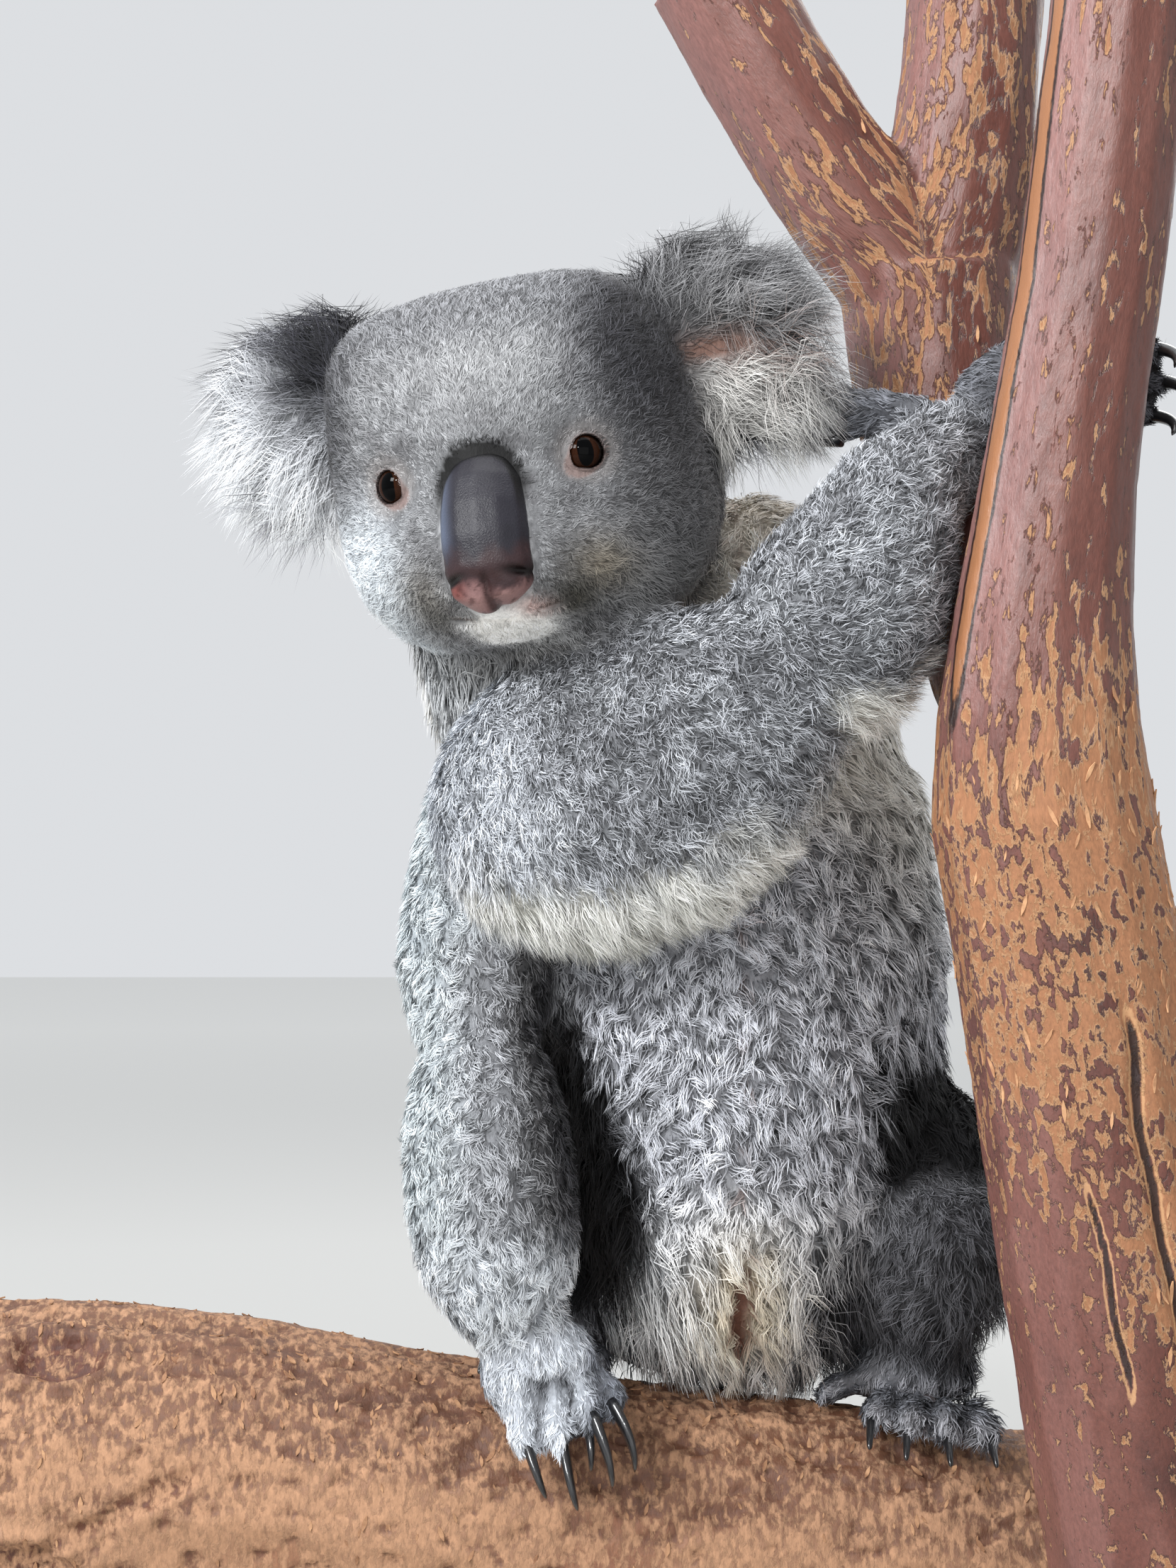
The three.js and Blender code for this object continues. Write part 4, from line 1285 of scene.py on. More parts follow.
def eye_material(settings):
    shade = Shade("eye", Roughness=0.3, Coat_Weight=0.5, Coat_Roughness=0.02, Coat_IOR=1.22,
                  Specular_IOR_Level=0.0)
    uv = shade.node("ShaderNodeUVMap", uv_map="eye_plane")
    parts = shade.node("ShaderNodeSeparateXYZ", {"Vector": uv.outputs["UV"]})
    x, z = parts.outputs["X"], parts.outputs["Y"]
    squared = shade.plus(shade.times(x, x), shade.times(z, z))
    radius = shade.maths("SQRT", squared)
    turn = shade.maths("ARCTAN2", z, x)
    ray = shade.node("ShaderNodeCombineXYZ", {"X": shade.times(turn, 9.0),
                                              "Y": shade.times(radius, 2.5)})
    fibres = shade.noise(ray.outputs["Vector"], 1.6, 3.0, 0.6)
    iris = shade.stops(fibres, [(0.25, settings["deep"]), (0.55, settings["iris"]),
                                (0.8, settings["light"])])
    reach = shade.maths("DIVIDE", radius, 6.3)
    edge = shade.levels(reach, [(0.0, 0.55), (0.5, 1.0), (0.78, 0.85), (0.97, 0.04)])
    iris = shade.mix(1.0, iris, edge, "MULTIPLY")
    across = shade.maths("DIVIDE", x, settings["pupil"])
    wide = shade.times(across, across)
    tall = shade.maths("POWER", shade.maths("ABSOLUTE", shade.maths("DIVIDE", z, 5.4)), 2.4)
    inside = shade.levels(shade.plus(wide, tall), [(0.80, 1.0), (0.95, 0.0)])
    shade.colour(shade.mix(inside, iris, (0.008, 0.008, 0.01)))
    return shade.material


def build_eye(side, material):
    """An eyeball with a bulging cornea, mapped flat along the way it looks."""
    name = "left" if side > 0 else "right"
    across_count, up_count = 48, 32
    theta = np.linspace(0, math.pi, up_count + 1)[:, None]
    phi = np.linspace(0, 2 * math.pi, across_count, endpoint=False)[None, :]
    out, r = np.cos(theta), np.sin(theta)
    bulge = 1 + 0.055 * np.exp(-((theta / 0.62) ** 4))
    x_axis, z_axis, y_axis = eye_axes(side)
    radius = EYE_RADIUS * bulge * 0.985
    local = (
        (radius * r * np.cos(phi))[..., None] * x_axis
        + (radius * r * np.sin(phi))[..., None] * z_axis
        + (radius * out * np.ones_like(phi))[..., None] * y_axis
    )
    flat = np.stack([radius * r * np.cos(phi), radius * r * np.sin(phi)], -1) / MM
    flat[..., 0] += 1.3  # both irises look a little inwards
    points = from_head(local.reshape(-1, 3) + EYE_CENTRE * (side, 1, 1))
    i = np.arange(up_count)[:, None] * across_count
    j = np.arange(across_count)[None, :]
    k = (j + 1) % across_count
    corners = np.stack([i + j, i + across_count + j, i + across_count + k, i + k], -1)
    corners = corners.reshape(-1, 4)
    piece = put_mesh(f"eyeball_{name}", points, corners.ravel(), np.full(len(corners), 4),
                     material)
    layer = piece.data.uv_layers.new(name="eye_plane")
    layer.uv.foreach_set("vector", flat.reshape(-1, 2)[corners.ravel()].astype(np.float32).ravel())
    close_shell(piece.data)
    settled(piece, "eye", f"eye_{name}")


def close_shell(mesh):
    """Merges doubles and turns every face outwards."""
    bm = bmesh.new()
    bm.from_mesh(mesh)
    bmesh.ops.remove_doubles(bm, verts=bm.verts, dist=1e-6)
    bmesh.ops.recalc_face_normals(bm, faces=bm.faces)
    bm.to_mesh(mesh)
    bm.free()


def nose_material():
    shade = Shade("nose leather", Roughness=0.42, Specular_IOR_Level=0.28)
    base = shade.attribute("nose_colour", "Color")
    fine = shade.noise(shade.place(), 1400, 4.0, 0.6)
    pores = shade.cracks(shade.place(), 900)
    shade.colour(shade.mix(1.0, base, shade.levels(fine, [(0.3, 0.82), (0.7, 1.0)]),
                           "MULTIPLY"))
    height = shade.plus(fine, shade.times(pores, 0.8))
    shade.bump(height, 0.35, 0.0004)
    return shade.material


def build_nose():
    """The bare nose: a long pad with two nostrils, a groove between them and a pink lip."""
    mesh = wrapped([welded("nose", 0.4 * MM)], 0.75 * MM)
    edges = edges_of(mesh)
    points = smoothed(points_of(mesh), edges, 14)
    head = to_head(points)
    x, y, z = (head / MM).T
    front = ramp(-y, 60, 68)

    def nostril(side):
        across = x - side * 10.8
        slant = z + 36.6 + side * across * 0.3
        wing = bell(across, 2.6) * bell(slant, 1.25)
        tail = bell(x - side * 13.6, 1.6) * bell(z + 38.5, 2.2)
        return np.maximum(wing, 0.7 * tail)

    holes = np.maximum(nostril(1), nostril(-1)) * front
    groove = bell(x - 0.3, 1.0) * ramp(-z, 33, 38) * front
    lobes = bell(x + 5, 4.5) * bell(z + 45, 4.5) + bell(x - 6, 4.5) * bell(z + 43.5, 4.5)
    hollow = bell(x, 9) * bell(z + 20, 14)
    push = 3.4 * holes + 1.8 * groove - 1.6 * lobes * front + 0.5 * hollow
    push += 0.10 * layered(points, 3.0 * MM, 21)
    head = head + (push * MM)[:, None] * (0, 1, 0)
    flare = bell(z + 41.5, 5.0) * ramp(np.abs(x), 1, 9) * np.sign(x)
    head = head + (3.0 * flare * MM)[:, None] * (1, 0, 0)
    notch = ramp(-z, 42, 50) * (bell(x + 5, 4.5) - 1.2 * bell(x - 2, 1.8)
                                - 0.5 * ramp(x, 4, 12))
    head = head - (1.5 * notch * MM)[:, None] * (0, 0, 1)
    points = from_head(head)
    set_points(mesh, points)
    slate = np.tile((0.125, 0.12, 0.15), (len(points), 1))
    mottle = layered(points, 6 * MM, 31, 4)
    slate = slate * (1 + 0.10 * mottle)[:, None]
    # painted highlight: a blue-grey reflection along the nose's right edge, which faces the key
    # lamp
    colours = blended(slate, (0.36, 0.40, 0.48), ramp(-x, 7, 14) * ramp(z, -36, -20) * 0.8)
    maroon = ramp(-z + 5 * mottle, 24, 33)
    colours = blended(colours, (0.20, 0.125, 0.13), 0.85 * maroon)
    pink_share = ramp(-z + 9 * mottle + 0.12 * x, 37, 43)
    colours = blended(colours, (0.47, 0.345, 0.34), 0.88 * pink_share)
    pale = (spot(head / MM, (-6, -74, -46), (5, 20, 3.5))
            + spot(head / MM, (7, -72, -43.5), (5, 20, 4)))
    colours = blended(colours, (0.62, 0.49, 0.475), 0.7 * pale * pink_share)
    freckle = ramp(layered(points, 2.4 * MM, 41, 3), 0.12, 0.38) * ramp(-z, 30, 36)
    colours = blended(colours, (0.18, 0.10, 0.10), 0.8 * freckle * (1 - 0.6 * pale))
    flush = ramp(-z, 35, 38) * (1 - ramp(-z, 41, 45)) * ramp(-x, 4, 10)
    colours = blended(colours, (0.46, 0.20, 0.17), 0.7 * flush)
    # painted shade: the nostrils are painted nearly black and the groove between them darker, as
    # shade in the hollows
    colours = blended(colours, (0.05, 0.02, 0.02), np.clip(1.4 * holes, 0, 1))
    colours = blended(colours, (0.17, 0.10, 0.10), np.clip(groove, 0, 0.65))
    rim = ramp(nose_outline(x, z), 0.86, 0.93) * ramp(z, -18, -4)
    colours = blended(colours, (0.03, 0.028, 0.03), rim)
    set_colours(mesh, "nose_colour", linear(colours))
    mesh.name = "nose_pad"
    mesh.shade_smooth()
    settled(shown("nose_pad", mesh, nose_material()), "nose_leather", "nose")


def claw_material():
    shade = Shade("claw horn", Roughness=0.28, Coat_Weight=0.4)
    lines = shade.noise(shade.place((1, 1, 0.15)), 1500, 3.0, 0.6)
    shade.colour(shade.stops(lines, [(0.3, (0.05, 0.05, 0.055)), (0.7, (0.12, 0.12, 0.13))]))
    shade.bump(lines, 0.3, 0.0002)
    return shade.material


def build_claws(paw, material):
    """A paw's claws: curved, deeper than wide, tapering to a blunt point."""
    rings, sides = 14, 12
    points, corners, sizes = [], [], []
    turn = np.linspace(0, 2 * math.pi, sides, endpoint=False)
    for path in CLAWS[paw]:
        a, b, c = np.array(path, float) * MM
        if paw.startswith("foot"):  # worn shorter than the claws of the hands
            b, c = a + (b - a) * 0.8, b + (c - b) * 0.25
        a, c = a + (a - b) * 0.35, c + (b - c) * 0.18  # into the fur, and blunt
        start = sum(len(p) for p in points)
        ring_list = []
        for t in np.linspace(0, 1, rings):
            at = a * (1 - t) * (1 - 2 * t) + b * 4 * t * (1 - t) + c * t * (2 * t - 1)
            tangent = unit(a * (4 * t - 3) + b * 4 * (1 - 2 * t) + c * (4 * t - 1))
            bend = unit(np.cross(c - a, b - a))
            deep = np.cross(tangent, bend)
            r = MM * (2.7 * (1 - t) ** 0.62 + 0.38 * t) * (1 if t < 0.999 else 0.6)
            r *= 0.8 if paw.startswith("foot") else 1
            ring_list.append(at + r * (0.78 * np.cos(turn)[:, None] * bend
                                       + 1.06 * np.sin(turn)[:, None] * deep))
        points.append(np.concatenate([a[None], *ring_list, c[None]]))
        for i in range(rings - 1):
            for j in range(sides):
                k = (j + 1) % sides
                p = start + 1 + i * sides
                corners += [p + j, p + k, p + sides + k, p + sides + j]
                sizes.append(4)
        last = start + 1 + (rings - 1) * sides
        for j in range(sides):
            k = (j + 1) % sides
            corners += [start, start + 1 + k, start + 1 + j, last + sides, last + j, last + k]
            sizes += [3, 3]
    piece = put_mesh(f"claws_{paw}", np.concatenate(points), corners, sizes, material)
    close_shell(piece.data)
    settled(piece, "claw", *(f"{paw}_claw_{i + 1}" for i in range(len(CLAWS[paw]))))


def new_tree(name, **sockets):
    """An empty Geometry Nodes tree with a mesh in, a mesh out and named inputs."""
    tree = bpy.data.node_groups.new(name, "GeometryNodeTree")
    face = tree.interface
    face.new_socket("Geometry", in_out="INPUT", socket_type="NodeSocketGeometry")
    for label, kind in sockets.items():
        face.new_socket(label, in_out="INPUT", socket_type="NodeSocket" + kind)
    face.new_socket("Geometry", in_out="OUTPUT", socket_type="NodeSocketGeometry")
    start = tree.nodes.new("NodeGroupInput")
    end = tree.nodes.new("NodeGroupOutput")
    return tree, start, end, functools.partial(add_node, tree)


def scattered(tree, end, add, dots, instance, turn, size, material):
    """Ends a tree with real copies of an instance on points, in one material."""
    many = add("GeometryNodeInstanceOnPoints", {
        "Points": dots, "Instance": instance, "Rotation": turn, "Scale": size})
    real = add("GeometryNodeRealizeInstances", {"Geometry": many.outputs["Instances"]})
    painted = add("GeometryNodeSetMaterial", {"Geometry": real.outputs["Geometry"],
                                              "Material": material})
    tree.links.new(painted.outputs["Geometry"], end.inputs["Geometry"])
    return tree


def run_tree(piece, tree, values, material):
    """The piece's mesh as the tree makes it, as a plain mesh; the piece goes."""
    modifier = piece.modifiers.new(tree.name, "NODES")
    modifier.node_group = tree
    for item in tree.interface.items_tree:
        if item.in_out == "INPUT" and item.name in values:
            modifier[item.identifier] = values[item.name]
    mesh = applied(piece)
    mesh.materials.clear()
    mesh.materials.append(material)
    return mesh


def whisker_tree():
    """A thin tapered hair on each point, along its aim and as long as its span."""
    tree, start, end, add = new_tree("whiskers", Bend="Float", Thickness="Float",
                                     Material="Material")
    middle = add("ShaderNodeCombineXYZ", {"X": start.outputs["Bend"]}, {"Z": 0.5})
    tip = add("ShaderNodeCombineXYZ", {}, {"Z": 1.0})
    line = add("GeometryNodeCurveQuadraticBezier",
               {"Middle": middle.outputs[0], "End": tip.outputs[0]},
               {"Resolution": 9, "Start": (0, 0, 0)})
    along = add("GeometryNodeSplineParameter")
    thin = add("ShaderNodeMapRange", {"Value": along.outputs["Factor"],
                                      "To Min": start.outputs["Thickness"]},
               {"From Min": 0.0, "From Max": 1.0, "To Max": 0.0006})
    ring = add("GeometryNodeCurvePrimitiveCircle", {}, {"Resolution": 5, "Radius": 1.0})
    hair = add("GeometryNodeCurveToMesh", {
        "Curve": line.outputs["Curve"], "Profile Curve": ring.outputs["Curve"],
        "Scale": thin.outputs["Result"]}, {"Fill Caps": True})
    aim = add("GeometryNodeInputNamedAttribute", {}, {"Name": "aim"},
              data_type="FLOAT_VECTOR")
    span = add("GeometryNodeInputNamedAttribute", {}, {"Name": "span"}, data_type="FLOAT")
    turn = add("FunctionNodeAlignRotationToVector", {"Vector": aim.outputs["Attribute"]},
               axis="Z")
    dots = add("GeometryNodeMeshToPoints", {"Mesh": start.outputs["Geometry"]})
    return scattered(tree, end, add, dots.outputs["Points"], hair.outputs["Mesh"],
                     turn.outputs["Rotation"], span.outputs["Attribute"],
                     start.outputs["Material"])


def build_whiskers(settings):
    """Thin dark hairs beside the nose, over the eyes and on the chin."""
    random = np.random.default_rng(71)
    tree = BVHTree.FromPolygons(skin["points"].tolist(), skin["triangles"].tolist())
    roots, aims, spans = [], [], []

    def grow(place, way, spread, shortest, longest):
        way = unit(way + random.normal(0, spread, 3))
        found = tree.find_nearest(from_head(np.array(place) * MM))
        roots.append(np.array(found[0]))
        aims.append(way @ HEAD_TURN.T)
        spans.append(settings.whisker_length * random.uniform(shortest, longest))

    for side in (-1, 1):
        for i in range(15):
            row, step = divmod(i, 5)
            place = (side * (18 + 2.6 * step), -72 + 1.5 * step, -33 - 4.2 * row)
            grow(place + random.normal(0, 0.7, 3),
                 (side, -0.40 + 0.1 * step, -0.12 * row + 0.08), 0.08, 0.6, 1.0)
        for i in range(7):
            place = (side * (27 + 2.4 * i), -58, 9.5 - 0.3 * i)
            grow(place + random.normal(0, 0.4, 3),
                 (side * (0.1 + 0.12 * i), -0.85, 0.55), 0.12, 0.28, 0.45)
    for _ in range(8):
        across = random.uniform(-12, 12)
        grow((across, -58, -62), (across / 30, -0.7, -0.6), 0.12, 0.3, 0.5)
    dots = put_mesh("dots", np.array(roots), [], [])
    set_field(dots.data, "aim", aims)
    set_field(dots.data, "span", spans)
    shade = Shade("whisker", Roughness=0.45)
    shade.colour(shade.stops(shade.noise(shade.place(), 300), [
        (0.3, (0.05, 0.045, 0.045)), (0.7, (0.20, 0.18, 0.17))]))
    mesh = run_tree(dots, whisker_tree(), {
        "Bend": 0.10, "Thickness": 0.0036, "Material": shade.material}, shade.material)
    settled(shown("whiskers", mesh), "coat")


# ---- the perch ----

LOG_LINE = np.array([[-236, 16, 150], [-150, 14, 149], [-60, 10, 136], [30, 8, 124],
                     [120, 10, 112], [214, 14, 101]]) * MM
TRUNK_LINE = np.array([[214, -86, 74], [201, -86, 138], [185, -86, 234], [170, -85, 340],
                       [159, -84, 410], [160, -85, 462], [168, -85, 535], [177, -85, 589],
                       [187, -85, 680], [191, -84, 722]]) * MM


def bark_material(name, scale, tones, rim, soft, bump):
    """Bark painted by its own colour attribute. Where its peel attribute is high it has
    come off in ragged flecks that lie along the grain. A seam and cracks are drawn where
    their own attributes are high. Shade is painted into the groove round each fleck and deep
    in each crack."""
    tan, pale, dark = tones
    shade = Shade(name, Roughness=0.8)
    base = shade.attribute("bark_colour", "Color")
    along = shade.attribute("bark_place", "Vector")
    peel = shade.attribute("bark_peel")
    fibres = shade.noise(along, 800, 5.0, 0.65)
    value = shade.plus(shade.noise(along, scale, 7.0, 0.6, 0.3), peel)
    off = shade.levels(value, [(0.495 - soft, 0.0), (0.535 + soft, 1.0)])
    edge = shade.levels(value, [(0.475, 0.0), (0.497, 1.0), (0.515, 1.0), (0.56, 0.0)])
    under = shade.levels(value, [(0.445, 0.0), (0.470, 1.0), (0.485, 0.0)])
    colour = shade.mix(off, base, tan)
    colour = shade.mix(1.0, colour, shade.levels(fibres, [(0.25, 0.66), (0.7, 1.12)]),
                       "MULTIPLY")
    colour = shade.mix(shade.times(edge, rim), colour, pale)
    # painted shade in the groove that the bump makes round each fleck
    colour = shade.mix(shade.times(under, rim), colour, dark)
    ragged = shade.times(shade.maths("SUBTRACT", fibres, 0.5), 0.35)
    seam = shade.plus(shade.attribute("bark_seam"), ragged)
    colour = shade.mix(shade.levels(seam, [(0.35, 0.0), (0.45, 1.0)]), colour, dark)
    colour = shade.mix(shade.levels(seam, [(0.60, 0.0), (0.70, 0.9)]), colour, tan)
    crack = shade.plus(shade.attribute("bark_crack"), ragged)
    colour = shade.mix(shade.levels(crack, [(0.40, 0.0), (0.50, 0.8), (0.62, 0.8), (0.7, 0.0)]),
                       colour, pale)
    # painted shade deep in each crack, inside its pale rim
    colour = shade.mix(shade.levels(crack, [(0.68, 0.0), (0.80, 0.95)]), colour, dark)
    shade.colour(colour)
    shade.roughness(shade.plus(shade.attribute("bark_rough"), shade.times(off, 0.35)))
    steps = shade.levels(value, [(0.44, 0.75), (0.478, 0.35), (0.50, 1.0), (0.56, 0.15)])
    height = shade.plus(shade.times(steps, 1.4 * rim), shade.times(fibres, 0.45))
    shade.bump(height, bump, 0.0013)
    return shade.material


def bark_mesh(nodes, voxel):
    mesh = wrapped([welded(node, 0.3 * MM) for node in nodes], voxel)
    points = smoothed(points_of(mesh), edges_of(mesh), 3)
    set_points(mesh, points)
    return mesh, points, normals_of(mesh)


def bark_piece(name, mesh, points, nodes, slot, material, colours, **fields):
    """The finished bark, with the fields that its material and its flakes read."""
    set_points(mesh, points)
    set_colours(mesh, "bark_colour", linear(np.clip(colours, 0, 1)))
    for key, values in fields.items():
        set_field(mesh, key, values)
    mesh.name = name
    mesh.shade_smooth()
    return settled(shown(name, mesh, material), slot, *nodes)


def build_log(settings):
    """The thick log: rough orange-tan bark with pits, ridges, two knots and sawn ends."""
    mesh, points, normals = bark_mesh(["perch_log"], 1.9 * MM)
    grainwise = points * (0.45, 1, 1)
    broad = layered(grainwise, 30 * MM, 51)
    lumps = layered(grainwise, 9 * MM, 57)
    chips = layered(grainwise * (1.0, 0.8, 0.8), 4.2 * MM, 63)
    pits = ramp(chips, 0.18, 0.5)
    ends = ramp(np.abs(normals[:, 0]), 0.8, 0.95)
    height = 1.3 * broad + 0.9 * lumps - 1.5 * pits + 0.25 * layered(points, 2.4 * MM, 69)
    x, y, z = (points / MM).T
    colours = np.tile((0.61, 0.455, 0.345), (len(points), 1))
    colours = blended(colours, (0.66, 0.50, 0.38), ramp(lumps, 0.0, 0.6) * 0.7)
    colours = blended(colours, (0.47, 0.29, 0.20), ramp(-broad, 0.1, 0.7) * 0.8)
    # the pits are darker: partly the bark's own brown, partly painted shade in the hollows
    colours = blended(colours, (0.36, 0.22, 0.155), pits * 0.8)
    top = ramp(normals[:, 2], 0.2, 0.8)
    flaky = ramp(layered(points * (0.6, 1, 1), 7 * MM, 75), 0.0, 0.35) * top
    height -= 1.2 * flaky
    # painted shadow: the log's upper side, under the koala, is painted darker brown
    colours = blended(colours, (0.38, 0.24, 0.165), 0.8 * ramp(normals[:, 2], -0.05, 0.6))
    colours = blended(colours, (0.34, 0.215, 0.155), 0.75 * flaky)
    for knot, radius in (((-197, -20, 202), 16), ((-205, -44, 124), 20), ((96, -44, 82), 12)):
        away = np.linalg.norm((np.stack([x, y, z], 1) - knot) * (0.75, 1, 1.15), axis=1)
        away += 2.5 * lumps
        rings = 0.5 + 0.5 * np.cos(away * 1.5)
        inside = 1 - ramp(away, radius * 0.55, radius)
        rim = bell(away - radius * 0.9, 3.2)
        height += 3.0 * rim - 4.0 * inside + 0.8 * rings * inside
        colours = blended(colours, (0.36, 0.19, 0.13), 0.85 * inside)
        colours = blended(colours, (0.27, 0.14, 0.10), 0.7 * inside * rings)
    scar = np.abs((x + 168) * 0.5 - (z - 150)) / 1.1 + 2.5 * lumps
    scar = (1 - ramp(scar, 1.5, 5)) * (1 - ramp(np.abs(x + 172), 24, 34)) * ramp(-y, 5, 25)
    height -= 2.6 * scar
    # the scar's cut is darker: partly the wood's own colour, partly painted shade in the cut
    colours = blended(colours, (0.34, 0.18, 0.11), 0.85 * scar)
    centre_y = np.interp(points[:, 0], LOG_LINE[:, 0], LOG_LINE[:, 1])
    centre_z = np.interp(points[:, 0], LOG_LINE[:, 0], LOG_LINE[:, 2])
    radial = np.hypot(points[:, 1] - centre_y, points[:, 2] - centre_z) / MM
    rings = 0.5 + 0.5 * np.sin(radial * 1.9 + 2 * broad)
    wood = np.tile((0.80, 0.66, 0.48), (len(points), 1)) * (1 - 0.16 * rings)[:, None]
    bark_edge = ramp(radial, 52, 57)
    colours = colours * (1 - ends * (1 - bark_edge))[:, None] \
        + wood * (ends * (1 - bark_edge))[:, None]
    height = height * (1 - ends)
    points = points + normals * (height * MM * settings.log_relief)[:, None]
    peel = 0.04 - 0.04 * top + 0.06 * broad - 0.06 * pits - 0.05 * flaky
    tones = ((0.655, 0.50, 0.385), (0.74, 0.60, 0.46), (0.36, 0.23, 0.165))
    return bark_piece(
        "bark_log", mesh, points, ["perch_log"], "log_bark",
        bark_material("log bark", 380, tones, 0.12, 0.07, 0.8), colours,
        bark_rough=np.full(len(points), 0.60), bark_place=points * (0.9, 0.5, 0.45),
        bark_peel=peel - 0.5 * ends,
        flake=np.clip(0.25 + top + 0.5 * lumps, 0, 1) * (1 - ends))


def build_trunk(settings):
    """The forked trunk: smooth red-brown bark that flakes off to tan in long patches."""
    nodes = ["perch_trunk", "perch_stem", "perch_limb_left", "perch_limb_right"]
    mesh, points, normals = bark_mesh(nodes, 1.9 * MM)
    x, y, z = (points / MM).T
    centre = np.interp(points[:, 2], TRUNK_LINE[:, 2], TRUNK_LINE[:, 0]) / MM
    front = (y < -48) & (x > centre - 46)
    limb_left = np.interp(z, (592, 620, 664, 722), (128, 108, 79, 46))
    limb_right = np.interp(z, (598, 630, 672, 722), (132, 140, 145, 148))
    leftward = (x < (limb_left + limb_right) / 2) & (z > 596) & ~front
    forked = ramp(z, 588, 630)
    middle = np.where(leftward, limb_left, limb_right)
    middle = np.where(front, centre, 130 + forked * (middle - 130))
    # places along the grain: flecks are long high up and rounder low down
    up = np.where(front, np.where(z > 400, 220 + 0.30 * (z - 400), 0.55 * z), 0.34 * z)
    squeeze = np.where(leftward, 1 - 0.15 * forked, 1.0)
    place = np.stack([(x - middle) * squeeze, y, up], 1) * MM
    broad = layered(place, 20 * MM, 81)
    fine = layered(place * (1.2, 1.2, 1.2), 2.4 * MM, 93)
    low = ramp(-z, -500, -400) * (0.75 + 0.25 * ramp(z, 130, 300))
    fork = ramp(-z, -680, -610)
    beside = x - centre
    smooth_strip = ramp(-z, -330, -250) * (1 - ramp(beside, 2, 15))
    peel = np.where(front, -0.125 + low * (0.14 + 0.05 * ramp(beside, -25, 25))
                    - 0.12 * smooth_strip,
                    np.where(leftward, -0.13 + 0.09 * fork + 0.09 * ramp(x - limb_left, 6, 20),
                             -0.055 + 0.01 * fork)) + 0.035 * broad
    height = 0.8 * broad + 0.22 * fine
    red = np.tile((0.385, 0.215, 0.175), (len(points), 1))
    red = blended(red, (0.46, 0.30, 0.265), ramp(broad, 0.0, 0.7) * 0.6)
    red = blended(red, (0.27, 0.14, 0.115), ramp(-broad, 0.1, 0.6) * 0.7)
    # painted sheen: the bark is painted lighter and pinker on the side that faces the key lamp
    sheen = ramp(-normals[:, 0], 0.0, 0.8) * np.where(front, 1 - 0.5 * low, 0.9)
    red = blended(red, (0.58, 0.44, 0.43), 0.7 * sheen)
    colours = red
    # long cracks down the front, and the seam up its left edge
    cracks = np.zeros(len(points))
    for shift, low_z, high_z, wide in ((14, 60, 350, 1.2), (-8, 190, 290, 0.8)):
        wander = 1.6 * np.sin(z / 27) + 0.8 * np.sin(z / 7.3 + shift) + 1.5 * broad
        line = np.abs(x - centre - shift - wander)
        crack = bell(line, 0.8 + wide) * front * (y < -90)
        crack = crack * ramp(z, low_z, low_z + 25) * (1 - ramp(z, high_z - 25, high_z))
        height -= 2.2 * wide * crack
        cracks = np.maximum(cracks, crack)
    reach = np.interp(points[:, 2], TRUNK_LINE[:, 2],
                      [41, 40, 40, 40, 38.5, 32, 27, 26, 25, 25])
    seam = bell(x - centre + 0.92 * reach + 0.6 * broad, 1.5)
    seam = seam * front * ramp(z, 400, 470) * (y < -70)
    height += 1.2 * seam
    peel = peel - 0.12 * seam
    ends = ramp(np.abs(normals[:, 2]), 0.85, 0.97) * ((z > 700) | (z < 90))
    sawn = np.tile((0.78, 0.62, 0.44), (len(points), 1))
    colours = blended(colours, sawn, ends * 0.9)
    points = points + normals * (height * (1 - ends) * MM * settings.trunk_relief)[:, None]
    tones = ((0.60, 0.41, 0.28), (0.74, 0.57, 0.41), (0.15, 0.08, 0.07))
    return bark_piece(
        "bark_trunk", mesh, points, nodes, "trunk_bark",
        bark_material("trunk bark", 235, tones, 0.7, 0.0, 0.55), colours,
        bark_rough=0.40 + 0.3 * ends, bark_place=place, bark_seam=seam, bark_crack=cracks,
        bark_peel=peel - 0.5 * ends, flake=ramp(peel, -0.06, 0.05) * (1 - ends))


